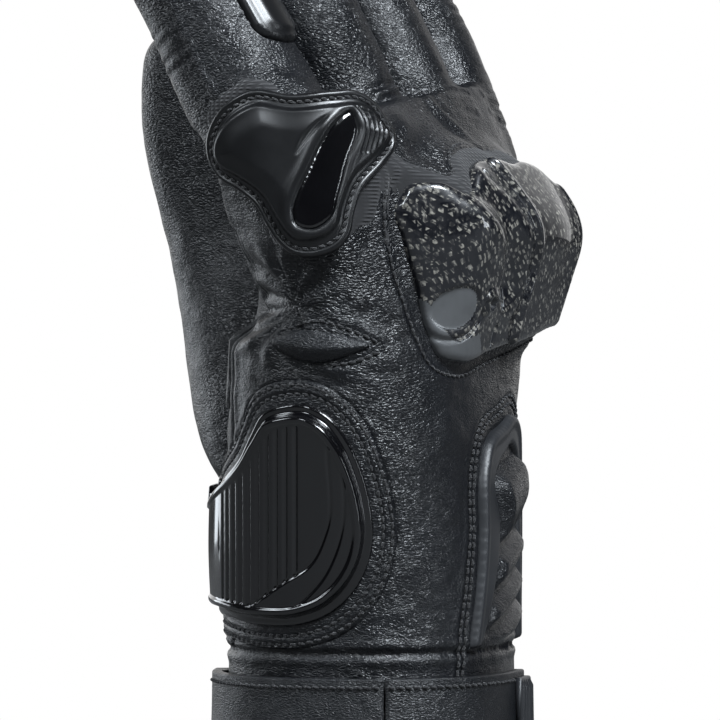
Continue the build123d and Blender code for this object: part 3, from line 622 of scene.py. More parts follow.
def carbon(name):
    """Clear-coated carbon: dark ground with paler chips of broken filaments."""
    material, tree, shader, where = new_material(name)
    bent = warped(tree, where, 90.0, (0.0035, 0.0, 0.0035))
    turned = mapped(tree, bent, turn=(0.0, math.radians(38), 0.0))
    chips = node(tree, "ShaderNodeTexVoronoi", feature="F1", distance="CHEBYCHEV", Scale=800.0,
                 Randomness=0.7)
    tree.links.new(mapped(tree, turned, (1.25, 0.8, 0.75)), chips.inputs["Vector"])
    pick = node(tree, "ShaderNodeSeparateColor")
    tree.links.new(chips.outputs["Color"], pick.inputs[0])
    inside_chip = ramp(tree, chips.outputs["Distance"], [(0.3, 1.0), (0.4, 0.0)])
    patches = noise_node(tree, where, 120.0, 2.0, 0.6)
    some = ramp(tree, math_node(tree, "ADD", math_node(tree, "MULTIPLY", pick.outputs[0], 0.6),
                                math_node(tree, "MULTIPLY", patches, 0.4)), [(0.16, 0.0), (0.34, 1.0)])
    strands = noise_node(tree, turned, 900.0, 2.0, 0.5, stretch=(2.2, 1.0, 0.5))
    filaments = ramp(tree, strands, [(0.4, 0.25), (0.7, 1.0)])
    amount = math_node(tree, "MULTIPLY", math_node(tree, "MULTIPLY", inside_chip, some), filaments)
    tint = ramp(tree, amount, [(0.0, (0.003, 0.0036, 0.006)), (0.3, (0.02, 0.02, 0.021)),
                               (1.0, (0.29, 0.275, 0.24))])
    tree.links.new(tint, shader.inputs["Base Color"])
    tree.links.new(ramp(tree, pick.outputs[1], [(0.0, 0.28), (1.0, 0.5)]), shader.inputs["Roughness"])
    waves = bump(tree, noise_node(tree, where, 160.0, 2.0), 0.0002, 0.35)
    tree.links.new(waves, shader.inputs["Coat Normal"])
    shader.inputs["Coat Weight"].default_value = 1.0
    shader.inputs["Coat Roughness"].default_value = 0.03
    shader.inputs["Specular IOR Level"].default_value = 0.35
    return material


def woven(name, colour, pitch):
    """Knit or tape: crossing ribs at a thread's pitch."""
    material, tree, shader, where = new_material(name)
    ways = []
    for k, stretch in enumerate(((1, 1, 0.001), (0.001, 0.001, 1))):
        wave = node(tree, "ShaderNodeTexWave", Scale=1.0 / (pitch * MM) / 6.283 * 2, Distortion=1.5,
                    bands_direction="DIAGONAL" if k == 0 else "Z")
        tree.links.new(mapped(tree, where, stretch), wave.inputs["Vector"])
        ways.append(wave.outputs["Fac"])
    cloth = math_node(tree, "MULTIPLY", ways[0], ways[1])
    tree.links.new(bump(tree, cloth, 0.0003, 0.9), shader.inputs["Normal"])
    dark = tuple(c * 0.5 for c in colour)
    fuzz = math_node(tree, "ADD", cloth, noise_node(tree, where, 300.0, 4.0))
    tree.links.new(ramp(tree, fuzz, [(0.3, dark), (1.0, colour)]), shader.inputs["Base Color"])
    tree.links.new(ramp(tree, cloth, [(0.0, 0.95), (1.0, 0.75)]), shader.inputs["Roughness"])
    shader.inputs["Sheen Weight"].default_value = 0.25
    return material


LEATHER_BLACK = leather("shell_leather_skin", (0.005, 0.0058, 0.0078), rough=(0.27, 0.42), grain=640.0)
LEATHER_PALM = leather("palm_leather_skin", (0.0065, 0.0074, 0.0095), rough=(0.4, 0.56))
LEATHER_STRAP = leather("strap_leather_skin", (0.006, 0.007, 0.009), rough=(0.3, 0.46), crease=0.4)
GLOSS = moulding("gloss_moulding_skin", (0.0015, 0.0015, 0.002), 0.12, coat=0.7, speckle=0.000003,
                 wear=0.05)
SATIN = moulding("satin_moulding_skin", (0.004, 0.0042, 0.0048), 0.3, speckle=0.00001, wear=0.08)
MATTE = moulding("matte_moulding_skin", (0.012, 0.013, 0.015), 0.42, speckle=0.00003, wear=0.1)
CARBON = carbon("carbon_skin")
SATIN_GREY = moulding("satin_grey_skin", (0.07, 0.073, 0.076), 0.32, coat=0.6, speckle=0.00001, wear=0.05)
THREAD = woven("thread", (0.016, 0.016, 0.018), 0.35)
KNIT = woven("liner_knit", (0.016, 0.016, 0.018), 0.9)
TAPE = woven("closure_tape_pile", (0.012, 0.012, 0.014), 0.6)
WEBBING = woven("webbing_weave", (0.02, 0.02, 0.022), 1.2)

# ------------------------------------------------------------------ sheets laid over an outline


def nearest_on(path, q):
    """Nearest points of a closed polyline to 2-D points."""
    path = np.vstack([path, path[:1]])
    best, spot_on = np.full(len(q), 1e9), np.array(q, float)
    for a, b in zip(path[:-1], path[1:]):
        ab = b - a
        t = np.clip(((q - a) @ ab) / max(ab @ ab, 1e-12), 0, 1)
        p = a + t[:, None] * ab
        d = np.linalg.norm(q - p, axis=1)
        closer = d < best
        best = np.where(closer, d, best)
        spot_on[closer] = p[closer]
    return spot_on


def outset(path, distance):
    """A closed path moved outwards by a distance."""
    ahead = np.roll(path, -1, axis=0) - np.roll(path, 1, axis=0)
    ahead /= np.linalg.norm(ahead, axis=1)[:, None]
    area = 0.5 * np.sum(path[:, 0] * np.roll(path[:, 1], -1) - path[:, 1] * np.roll(path[:, 0], -1))
    side = np.stack([ahead[:, 1], -ahead[:, 0]], axis=1) * (1 if area > 0 else -1)
    moved = path + side * distance
    clear = distance_to(path, moved, closed=True) > abs(distance) * 0.93
    return moved[clear]


def frame_at(lay, p, eps=0.4):
    """Points and outward normals of a chart at 2-D places."""
    a, b = p[:, 0], p[:, 1]
    point = lay(a, b)
    normal = np.cross(lay(a + eps, b) - lay(a - eps, b), lay(a, b + eps) - lay(a, b - eps))
    return point, unit(normal)


def laid_sheet(name, outline, pitch, lay, height, skirt, material, flip=False, sharp=48):
    """A sheet over an outline, lifted off its chart by height(p, depth), with an edge skirt deep."""
    low, high = outline.min(0) - pitch, outline.max(0) + pitch
    nx, ny = (np.ceil((high - low) / pitch)).astype(int) + 1
    gx, gy = np.meshgrid(low[0] + np.arange(nx) * pitch, low[1] + np.arange(ny) * pitch, indexing="ij")
    p = np.stack([gx.ravel(), gy.ravel()], axis=1)
    depth = depth_inside(outline, p)
    good = (depth > -0.45 * pitch).reshape(nx, ny)
    cells = good[:-1, :-1] & good[1:, :-1] & good[1:, 1:] & good[:-1, 1:]
    i, j = np.nonzero(cells)
    quads = np.stack([i * ny + j, (i + 1) * ny + j, (i + 1) * ny + j + 1, i * ny + j + 1], axis=1)
    used, quads = np.unique(quads, return_inverse=True)
    quads = quads.reshape(-1, 4)
    p, depth = p[used], depth[used]
    edges = np.concatenate([quads[:, [k, (k + 1) % 4]] for k in range(4)])
    key = np.sort(edges, axis=1)
    _, first, counts = np.unique(key, axis=0, return_index=True, return_counts=True)
    rim = edges[first[counts == 1]]
    border = np.unique(rim)
    p[border] = nearest_on(outline, p[border])
    near = np.setdiff1d(np.nonzero(depth < 0.3 * pitch)[0], border)
    p[near] = (p[near] + nearest_on(outline, p[near])) / 2
    depth = np.maximum(depth_inside(outline, p), 0)
    depth[border] = 0
    point, normal = frame_at(lay, p)
    if flip:
        normal = -normal
    top = point + normal * height(p, depth)[:, None]
    down = {int(v): len(p) + k for k, v in enumerate(border)}
    foot = point[border] + normal[border] * (height(p[border], depth[border]) - skirt)[:, None]
    faces = [tuple(q) for q in quads] + [(int(b), int(a), down[int(a)], down[int(b)]) for a, b in rim]
    if flip:
        faces = [f[::-1] for f in faces]
    obj = mesh_object(name, np.vstack([top, foot]), faces, material, "glove")
    obj.data.set_sharp_from_angle(angle=math.radians(sharp))
    return obj


def edge_lift(depth, radius):
    """A quarter-round edge, 0 at the rim and 1 from its radius inwards."""
    t = np.clip(1 - depth / radius, 0, 1)
    return np.sqrt(1 - t * t)


def groove(q, path, width, closed=False):
    """1 on a path, falling smoothly to 0 at half the width."""
    return 1 - step(0.0, width / 2, distance_to(path, q, closed))


# ------------------------------------------------------------------ outlines unrolled from the hand


def side_chart(points):
    return np.array([unrolled(spot(OUT, ACROSS, [u], [z])[0]) for u, z in points])


def palm_spot_chart(x, z):
    return np.array(unrolled(spot(PALM, THUMBWARD, [x], [z])[0]))


def round_corners(points, pitch=0.5):
    return smooth_path(points, pitch, closed=True)


def slider_outline():
    """The slider's rim, from the outer edge round to the palm side."""
    front = side_chart(SLIDER)
    wrap = np.array([palm_spot_chart(SLIDER_END_X, z) for z in (45.0, 46.5, 60.0, 72.0, 73.6)])
    mid = np.array([palm_spot_chart(-26.0, 44.4)])
    mid_top = np.array([palm_spot_chart(-26.0, 74.0)])
    return round_corners(np.vstack([front, mid, wrap, mid_top, side_chart(SLIDER_TOP)]))


RIM_OF_SLIDER = slider_outline()


def plate_chart(points):
    """Unrolled places of the plate's drawn points, drawn in for the plate's own height."""
    points = np.asarray(points, float)
    inwards = PLATE_SPREAD * (PLATE_RIGHT - points[:, 0])
    points = points + np.stack([inwards, np.full(len(points), -PLATE_DROP)], axis=1)
    axis_u = PLATE_AXIS_U - PLATE_AXIS_SLOPE * (points[:, 1] - PLATE_HEIGHT)
    s = PLATE_RADIUS * np.arcsin(np.clip((points[:, 0] - axis_u) / PLATE_RADIUS, -0.999, 0.999))
    return np.stack([s, points[:, 1]], axis=1)


def plate_lay(s, z):
    u = PLATE_AXIS_U - PLATE_AXIS_SLOPE * (z - PLATE_HEIGHT) + PLATE_RADIUS * np.sin(s / PLATE_RADIUS)
    return plate_surface(u, z)[0]


RIM_OF_PLATE = plate_chart(round_corners(PLATE))
RIM_OF_GUARD = round_corners(GUARD_OUTLINE)


def guard_lay(x, z):
    return np.stack([x, guard_y(x, z), z], axis=1)


# ------------------------------------------------------------------ sewing lines on the leather


def on_side(points, pitch=1.0):
    path = smooth_path(points, pitch)
    return spot(OUT, ACROSS, path[:, 0], path[:, 1])


def on_back(points, pitch=1.0, closed=False):
    path = smooth_path(points, pitch, closed)
    return spot(BACK, THUMBWARD, path[:, 0], path[:, 1])


def seam_y_at(height):
    """Where the seam between back and palm lies, front to back."""
    rise = PALM_SEAM[1] - PALM_SEAM[0]
    return PALM_SEAM[0] + rise * (height - CUFF_TOP) / (WEB_SEAM_HEIGHT - CUFF_TOP)


def seam_edge(side, low, high, pitch=1.0):
    """Seam between back and palm on one side, its y running from the cuff's value to the web's."""
    levels = np.arange(low, high, pitch)
    y = seam_y_at(levels)
    points = []
    for level, at in zip(levels, y):
        ring = TABLE_POINTS[int(np.clip(round((level - TABLE_Z[0]) * 2), 0, len(TABLE_Z) - 1))]
        pick = ring[np.sign(ring[:, 0]) == side]
        points.append(pick[np.argmin(np.abs(pick[:, 1] - at))])
    return np.array(points)


def ring_seam(level):
    ring = TABLE_POINTS[int(round((level - TABLE_Z[0]) * 2))]
    return ring[::3]


def around_slider(distance):
    path = outset(RIM_OF_SLIDER, distance)
    path = smooth_path(path[::4], 1.0, closed=True)
    return rolled(path[:, 0], path[:, 1])


def around_guard(distance):
    return outset(RIM_OF_GUARD, distance)


FRAME_LEFT = ((-20.8, 30.0), (-19.6, 40.0), (-17.9, 49.0), (-15.3, 62.6), (-12.4, 78.0), (-8.2, 85.8),
              (4.0, 90.6), (15.0, 93.2), (23.2, 89.6), (27.0, 78.0), (28.6, 60.0), (29.8, 40.0),
              (30.4, 30.0))
FRAME_LEFT_FAR = ((-22.5, 30.0), (-21.3, 40.0), (-19.6, 49.0), (-17.0, 62.6), (-14.2, 78.6), (-9.6, 87.3),
                  (3.4, 92.4), (15.0, 95.1), (24.8, 90.9), (28.8, 78.4), (30.4, 60.0), (31.6, 40.0),
                  (32.2, 30.0))

SEAMS = {
    "little_side": seam_edge(-1, 37, 150),
    "thumb_side": seam_edge(1, 37, 62),
    "cuff_round": ring_seam(CUFF_TOP),
}
STITCHED = {
    "slider_near": around_slider(2.4),
    "slider_far": around_slider(4.7),
    "frame_near": on_back(FRAME_LEFT),
    "frame_far": on_back(FRAME_LEFT_FAR),
    "guard_row": on_back(around_guard(2.9)[::6], closed=True),
    "puff_top": on_side(((-22.0, 110.6), (-17.5, 112.2), (-12.0, 112.4), (-5.0, 110.4), (1.2, 107.6))),
    "puff_low": on_side(((-9.8, 102.4), (-5.2, 103.0), (1.6, 105.4))),
}

# ------------------------------------------------------------------ leather skin


def digit_place(rings, q):
    """Gap outside a digit, place along it, and offsets across and over it."""
    centres, radii, knots = digit_line(rings)
    at = np.linspace(0, knots[-1] + radii[-1], 60)
    path = curve_through(knots, centres, np.minimum(at, knots[-1]))
    ways = np.gradient(curve_through(knots, centres, np.minimum(at, knots[-1] - 0.01)), axis=0)
    ways = ways / np.maximum(np.linalg.norm(ways, axis=1), 1e-9)[:, None]
    ways[at > knots[-1] - 1] = ways[at <= knots[-1] - 1][-1]
    path = path + np.outer(np.maximum(at - knots[-1], 0), ways[-1])
    near = np.argmin(((q[:, None] - path[None]) ** 2).sum(2), axis=1)
    away = q - path[near]
    axis = ways[near]
    across = unit(THUMBWARD - axis * (axis @ THUMBWARD)[:, None])
    over = np.cross(axis, across)
    radius = curve_through(knots, radii, np.minimum(at, knots[-1]))[near]
    return np.linalg.norm(away, axis=1) - radius, at[near], (away * across).sum(1), (away * over).sum(1)


def tree_of(paths):
    points = np.vstack(paths)
    tree = KDTree(len(points))
    for i, p in enumerate(points):
        tree.insert(Vector(p), i)
    tree.balance()
    return tree


def distance_from(tree, q):
    result = np.full(len(q), 99.0)
    for i, p in enumerate(q):
        hit = tree.find(p)
        result[i] = hit[2]
    return result


FACING_OUT = TABLE_POINTS @ OUT > 0
EDGE_U = np.where(FACING_OUT, TABLE_POINTS @ ACROSS, 99.0).min(axis=1)
PINCH_Z = (92.0, 101.0, 107.0, 111.5, 115.0, 119.0, 124.0, 130.0, 137.0, 146.0)
PINCH_U = (-60.0, -36.0, -34.0, -27.5, -23.5, -25.0, -27.6, -30.4, -33.6, -60.0)
SEAM_TREE = tree_of(list(SEAMS.values()))
STITCH_TREE = tree_of(list(STITCHED.values()))
SLIDER_PRISM = np.array(SLIDER + ((-39.5, 45.5), (-48.0, 50.0), (-48.0, 63.0), (-39.5, 71.2)) + SLIDER_TOP)


def pinch_shift(q):
    """How far the leather is drawn in at the fold under the little finger."""
    edge = np.interp(q[:, 2], TABLE_Z, EDGE_U)
    wanted = curve_through(PINCH_Z, PINCH_U, np.clip(q[:, 2], PINCH_Z[0], PINCH_Z[-1]))
    shift = np.clip(wanted - edge, 0, 10.0)
    u = q @ ACROSS
    reach = step(-6.0, -32.0, u) * step(-6.0, 16.0, q @ OUT)
    return shift * reach


KNUCKLE_LINES = [smooth_path(points, 1.0) for points in (
    ((11.8, 172.0), (12.8, 167.5), (14.6, 163.4), (19.0, 158.8), (24.0, 155.0)),
    ((0.7, 165.6), (5.0, 167.4), (11.0, 168.5), (19.1, 171.3)),
    ((19.1, 168.9), (25.2, 165.6), (30.6, 159.5)))]


def knuckle_relief(u, z, out, facing):
    """Puffs and ridges over the finger roots, between the plate and the guard."""
    front = step(0.0, 0.35, facing) * step(0.0, 8.0, out)
    p = np.stack([u, z], axis=1)
    puff = 1.5 * np.exp(-((u - 9.5) / 6.5) ** 2 - ((z - 158.0) / 5.0) ** 2)
    puff += 1.2 * np.exp(-((u - 23.5) / 4.5) ** 2 - ((z - 162.0) / 4.5) ** 2)
    for path in KNUCKLE_LINES:
        d = distance_to(path, p)
        puff += 0.75 * np.exp(-(d / 0.8) ** 2) - 0.5 * np.exp(-((d - 1.7) / 0.7) ** 2)
    return puff * front


def under_hard(q, n):
    """Depth of each point under the slider, the side plate and the knuckle guard."""
    side, back = side_2d(q), back_2d(q)
    slider = np.where((q[:, 0] < SLIDER_END_X) & (q[:, 2] < 96), depth_inside(SLIDER_PRISM, side), -20)
    plate = np.where(q @ OUT > 22, depth_inside(np.array(PLATE), side), -20)
    guard = np.where(n @ BACK > 0.15, depth_inside(RIM_OF_GUARD[::3], back), -20)
    return slider, plate, guard


def drape(q, n, layer=0.0, fine=True, even=None):
    """Where the leather really lies: folds, seams, swelling and creases added to the plain hand."""
    slider, plate, guard = under_hard(q, n)
    moved = q + np.outer(pinch_shift(q), ACROSS)
    # The leather climbs to the guard's edge and to the plate's.
    surface = guard_y(q[:, 0], q[:, 2])
    rise = np.clip(q[:, 1] - (surface + 2.6), 0, 12) * step(-8.0, -0.8, guard)
    moved = moved + np.outer(rise, BACK)
    plate_point, _ = plate_surface(q @ ACROSS, q[:, 2])
    climb = np.clip((plate_point - q) @ OUT - 2.2, 0, 7) * step(-5.0, 0.5, plate)
    moved = moved + np.outer(climb, OUT)
    if even:
        moved = even(moved)
    free = np.minimum.reduce([1 - step(-3.0, -0.5, slider), 1 - step(-3.0, 0.0, plate),
                              1 - step(-3.5, -1.0, guard)])
    u, z = q @ ACROSS, q[:, 2]
    lift = 0.42 * noise(q, 17.0) + 0.22 * noise(q + 40, 8.0)
    calm = 0.35 + 0.65 * step(40, 90, z)
    lift = lift * calm
    if fine:
        # Fine creases lie across the hand between the plate, the guard and the pleat.
        middle = np.exp(-((u - 3) / 22) ** 2 - ((z - 125) / 26) ** 2)
        lift += (0.06 + 0.36 * middle) * noise(q * (1.0, 1.0, 1.8) + 9, 5.0)
        lift += (0.03 + 0.14 * middle) * noise(q * (1.0, 1.0, 1.3), 3.0)
        broad = np.exp(-((z - 80) / 45) ** 2)
        lift += 0.22 * broad * noise(q * (0.6, 0.6, 1.0) + 70, 6.5)
        lift += knuckle_relief(u, z, q @ OUT, n @ OUT)
        # Folds run out of the pinch.
        du, dz = u + 24.0, z - 116.0
        r = np.hypot(du, dz)
        angle = np.arctan2(dz, du)
        fold = np.sin(11 * angle + 2.2 * noise(q, 7.0)) * np.exp(-((r - 8.5) / 6.5) ** 2)
        lift += 0.62 * fold * (q @ OUT > 0)
        slant = (u * 0.34 + (z - 97.0)) / 2.6
        band = np.exp(-((u + 15) / 13) ** 2 - ((z - 98.5 - 0.12 * (u + 15)) / 4.6) ** 2) * (q @ OUT > 0)
        lift += 0.45 * band * np.sin(slant * 2.4 + 1.6 * noise(q, 6.0))
    seam = distance_from(SEAM_TREE, q)
    sewn = distance_from(STITCH_TREE, q)
    lift += -0.95 * (1 - step(0.0, 1.2, seam)) + 0.4 * np.exp(-((seam - 1.9) / 1.0) ** 2)
    lift += -0.32 * (1 - step(0.0, 0.9, sewn)) + 0.22 * np.exp(-((sewn - 1.5) / 0.7) ** 2)
    lift = lift * free - 0.25 * (1 - free)
    near = z > FINGER_ROOT
    for rings in FINGERS.values():
        gap, place, across, over = digit_place(rings, q[near])
        on = np.abs(gap) < 3.0
        side_seam = np.abs(over - 1.5)
        ridge = np.exp(-(side_seam / 0.8) ** 2) * step(16, 24, place) * (np.abs(across) > 6)
        wrinkle = np.sin(place * 1.9 + across * 0.12) * np.exp(-((place - 44) / 7) ** 2)
        base = np.exp(-((place - 13) / 6.5) ** 2)
        crease = np.sin(place * 1.25 + noise(q[near], 9.0)) * base
        lift[near] += np.where(on, 0.5 * ridge + 0.16 * wrinkle + 0.22 * crease, 0)
    if layer:
        lift = lift * 0.5
    return moved + n * lift[:, None]


def evaluated(obj):
    """Puts what an object's modifiers make of its mesh in the mesh's place."""
    depsgraph = bpy.context.evaluated_depsgraph_get()
    mesh = bpy.data.meshes.new_from_object(obj.evaluated_get(depsgraph))
    obj.modifiers.clear()
    old = obj.data
    obj.data = mesh
    bpy.data.meshes.remove(old)
    return obj


def fused(name, bodies, voxel, smooth):
    """Closed bodies joined into one even mesh, its creases eased."""
    verts, faces, start = [], [], 0
    for v, f in bodies:
        verts.append(v)
        faces += [tuple(i + start for i in face) for face in f]
        start += len(v)
    obj = mesh_object(name, np.vstack(verts), faces, None)
    remesh = obj.modifiers.new("even", "REMESH")
    remesh.mode = "VOXEL"
    remesh.voxel_size = voxel * MM
    remesh.use_smooth_shade = True
    ease = obj.modifiers.new("ease", "SMOOTH")
    ease.iterations = smooth
    ease.factor = 0.5
    return evaluated(obj)


VOXEL = 0.75


def glove_bodies(grow, low, high=163.0):
    return ([closed_hand(grow, low, high), tube(THUMB, grow)]
            + [tube(rings, grow) for rings in FINGERS.values()])


def region_of(q):
    """Which panel each point of the skin belongs to."""
    names = ["back_panel", "palm_panel", "cuff_panel", "pinky_stall", "ring_stall", "middle_stall",
             "index_stall", "thumb_stall"]
    seam_y = seam_y_at(q[:, 2])
    region = np.where(q[:, 1] > seam_y, 1, 0)
    region[q[:, 2] < CUFF_TOP] = 2
    web = (q - np.array((0, 0, WEB.height))) @ WEB_NORMAL > 0
    gaps = np.stack([gap_to_digit(rings, q) for rings in FINGERS.values()], axis=1)
    region[web] = 3 + np.argmin(gaps, axis=1)[web]
    thumb = gap_to_digit(THUMB, q)
    region[(thumb < 1.2) & (q[:, 1] > 24) & (q[:, 2] > 66)] = 7
    return names, region


def split_skin(skin, co, materials):
    """The skin's panels as pieces of their own, shaded as one surface."""
    mesh = skin.data
    count = len(mesh.polygons)
    corners = np.empty(len(mesh.loops), int)
    mesh.loops.foreach_get("vertex_index", corners)
    starts, totals = np.empty(count, int), np.empty(count, int)
    mesh.polygons.foreach_get("loop_start", starts)
    mesh.polygons.foreach_get("loop_total", totals)
    quads = [corners[s:s + t] for s, t in zip(starts, totals)]
    centre = np.array([co[f].mean(0) for f in quads])
    names, region = region_of(centre)
    shaped, normals = read_mesh(skin)
    made = {}
    for k, name in enumerate(names):
        mine = [quads[i] for i in np.nonzero((region == k) & (centre[:, 2] > 0.4))[0]]
        used = np.unique(np.concatenate(mine))
        index = np.full(len(shaped), -1)
        index[used] = np.arange(len(used))
        faces = [tuple(index[f]) for f in mine]
        material = materials.get(name, LEATHER_BLACK)
        piece = mesh_object(name + "_leather", shaped[used], faces, material, "glove")
        piece.data.normals_split_custom_set_from_vertices(normals[used].tolist())
        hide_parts(name)
        made[name] = piece
    return made


def eased(obj, co, before, rounds):
    """Evens out the steps left where the leather has been drawn far from the plain hand."""
    mesh = obj.data
    pairs = np.empty(2 * len(mesh.edges), int)
    mesh.edges.foreach_get("vertices", pairs)
    a, b = pairs[::2], pairs[1::2]
    degree = np.bincount(a, minlength=len(co)) + np.bincount(b, minlength=len(co))
    weight = (0.25 + 0.35 * step(0.3, 1.5, np.linalg.norm(co - before, axis=1)))[:, None]
    for _ in range(rounds):
        total = np.stack([np.bincount(a, co[b, k], len(co)) + np.bincount(b, co[a, k], len(co))
                          for k in range(3)], axis=1)
        co = co * (1 - weight) + weight * total / np.maximum(degree, 1)[:, None]
    return co


skin = fused("skin", glove_bodies(0.0, -2.5), VOXEL, 10)
plain_co, plain_no = read_mesh(skin)
plain_no = unit(eased(skin, plain_no, plain_no, 12))
write_mesh(skin, drape(plain_co, plain_no, even=lambda co: eased(skin, co, plain_co, 40)))
shaped_co, shaped_no = read_mesh(skin)
panels = split_skin(skin, plain_co, {"palm_panel": LEATHER_PALM})
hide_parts("guard_welt")
bpy.data.objects.remove(skin)

# ------------------------------------------------------------------ mouldings

PLAIN_TREE = tree_of([plain_co])


def on_skin(path):
    """Where points of the plain hand lie on the worn leather, with the leather's normals."""
    spots, ups = np.empty_like(path), np.empty_like(path)
    for i, p in enumerate(path):
        hits = PLAIN_TREE.find_n(Vector(p), 6)
        weight = np.array([1.0 / (h[2] + 0.15) for h in hits])
        weight /= weight.sum()
        index = [h[1] for h in hits]
        spots[i] = p + weight @ (shaped_co[index] - plain_co[index])
        ups[i] = weight @ shaped_no[index]
    return spots, unit(ups)


RIB_FIELD = ((-31.6, 95.0), (-15.6, 95.0), (-15.6, 54.6), (-18.2, 52.8), (-28.2, 44.2), (-31.2, 38.7),
             (-32.6, 60.0))
RIB_LAST = unrolled(spot(OUT, ACROSS, [-16.4], [60.0])[0])[0]
RIB_PLACES = [RIB_LAST - 2.3 * i for i in range(13)]
RIB_U = np.linspace(-38.5, -4.0, 60)
RIB_ARC = np.array([unrolled(spot(OUT, ACROSS, [u], [60.0])[0])[0] for u in RIB_U])
CONTOUR_A = smooth_path(((-9.7, 84.0), (-9.9, 64.8), (-14.0, 56.3), (-18.7, 52.9), (-30.0, 43.6)), 0.6)
CONTOUR_B = smooth_path(((-7.4, 82.0), (-6.3, 75.0), (-6.8, 64.0), (-9.7, 55.5), (-19.4, 43.8)), 0.6)
CONTOUR_C = smooth_path(((-4.4, 79.0), (-3.3, 71.0), (-3.7, 62.0), (-7.6, 52.1), (-14.4, 43.8)), 0.6)


def slider_height(p, depth):
    point = rolled(p[:, 0], p[:, 1])
    q = side_2d(point)
    on_view = (point @ OUT > 8).astype(float)
    flange = 1.0 + 0.9 * edge_lift(depth, 0.7)
    rise = step(1.7, 3.1, depth) * 2.4
    lip = -0.45 * step(3.9, 4.4, depth)
    h = flange + rise + lip
    field = depth_inside(np.array(RIB_FIELD), q)
    ribs = np.zeros(len(p))
    along = np.interp(q[:, 0], RIB_U, RIB_ARC)
    for at in RIB_PLACES:
        ribs = np.maximum(ribs, 1 - step(0.2, 0.62, np.abs(along - at)))
    h -= 0.5 * ribs * step(0.0, 0.5, field) * step(4.6, 5.0, depth) * on_view
    for path in (CONTOUR_A, CONTOUR_B, CONTOUR_C):
        h -= 0.34 * groove(q, path, 1.1) * step(3.9, 4.6, depth) * on_view
    return h


PITCH = 0.36
slider = laid_sheet("wrist_slider_shell", RIM_OF_SLIDER, PITCH * 0.62, rolled, slider_height, 2.2, GLOSS,
                    sharp=80)
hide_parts("wrist_slider")


WELT_ROW_A = smooth_path(outset(RIM_OF_SLIDER, 2.2)[::4], 1.0, closed=True)
WELT_ROW_B = smooth_path(outset(RIM_OF_SLIDER, 4.3)[::4], 1.0, closed=True)
WELT_RIM = smooth_path(outset(RIM_OF_SLIDER, 5.4)[::4], 0.8, closed=True)


def welt_height(p, depth):
    ridge = 0.75 * edge_lift(depth, 1.4) + 0.25
    for path in (WELT_ROW_A, WELT_ROW_B):
        ridge -= 0.45 * groove(p, path, 1.3, closed=True)
    return ridge


slider_welt = laid_sheet("slider_welt_leather", WELT_RIM, PITCH * 1.4, rolled, welt_height, 1.4,
                         LEATHER_BLACK)
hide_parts("slider_welt")

INLAY_RIM = plate_chart(round_corners(INLAY, 0.4))
PLATE_ROW = smooth_path(outset(RIM_OF_PLATE, -1.9)[::3], 0.8, closed=True)
RIPPLES = [plate_chart(smooth_path(((-6.6 + d, 163.4 - 0.2 * d), (-4.4 + d, 160.6), (-3.6 + d, 156.8),
                                    (-4.3 + d, 152.0)), 0.5)) for d in (0.0, 1.1, 2.2, 3.3, 4.4)]
CRESCENT = plate_chart(round_corners(((-11.9, 160.4), (-15.0, 158.4), (-17.4, 155.2), (-18.5, 151.4),
                                      (-16.5, 154.4), (-14.3, 157.3)), 0.4))


def plate_height(p, depth):
    h = 0.4 + 1.1 * edge_lift(depth, 0.9)
    h -= 0.5 * groove(p, PLATE_ROW, 1.6, closed=True)
    h += 1.5 * step(3.0, 4.4, depth) + 0.7 * step(4.0, 9.0, depth)
    inlay = depth_inside(INLAY_RIM, p)
    h += 0.35 * np.exp(-((inlay + 1.2) / 0.9) ** 2) - 0.95 * step(-0.3, 0.35, inlay)
    for path in RIPPLES:
        h -= 0.42 * groove(p, path, 0.95) * step(3.4, 4.2, depth)
    h -= 0.6 * step(-0.25, 0.5, depth_inside(CRESCENT, p))
    return h


plate = laid_sheet("side_plate_shell", RIM_OF_PLATE, PITCH * 0.85, plate_lay, plate_height, 1.9, SATIN)
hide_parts("side_plate")
INLAY_SHEET_RIM = smooth_path(outset(INLAY_RIM, -0.35), 0.5, closed=True)
inlay = laid_sheet("plate_inlay_sheet", INLAY_SHEET_RIM, PITCH, plate_lay,
                   lambda p, depth: 2.85 + 0.22 * edge_lift(depth, 0.5), 0.5, GLOSS)
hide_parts("plate_inlay")
PLATE_FOAM_RIM = smooth_path(outset(RIM_OF_PLATE, -1.2)[::3], 1.0, closed=True)
plate_foam = laid_sheet("plate_foam", PLATE_FOAM_RIM, 1.0, plate_lay,
                        lambda p, depth: -0.5 + 0.4 * edge_lift(depth, 2.0), 6.5, MATTE)
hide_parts("plate_pad")

BLOCK_RIM = round_corners(GUARD_BLOCK)
VALLEY = smooth_path(((-24.0, 144.5), (-18.0, 140.5), (-12.0, 136.0), (-7.5, 129.5), (-5.5, 121.0)), 0.8)
DISC_AT, KNOB_AT = np.array((-25.5, 115.5)), np.array((-15.5, 117.0))
HOOK = smooth_path([DISC_AT + 7.4 * np.array((math.cos(t), math.sin(t)))
                    for t in np.radians(np.linspace(176, 372, 12))], 0.6)
SLOTS = ((-6.5, 118.0), (-7.6, 109.4))


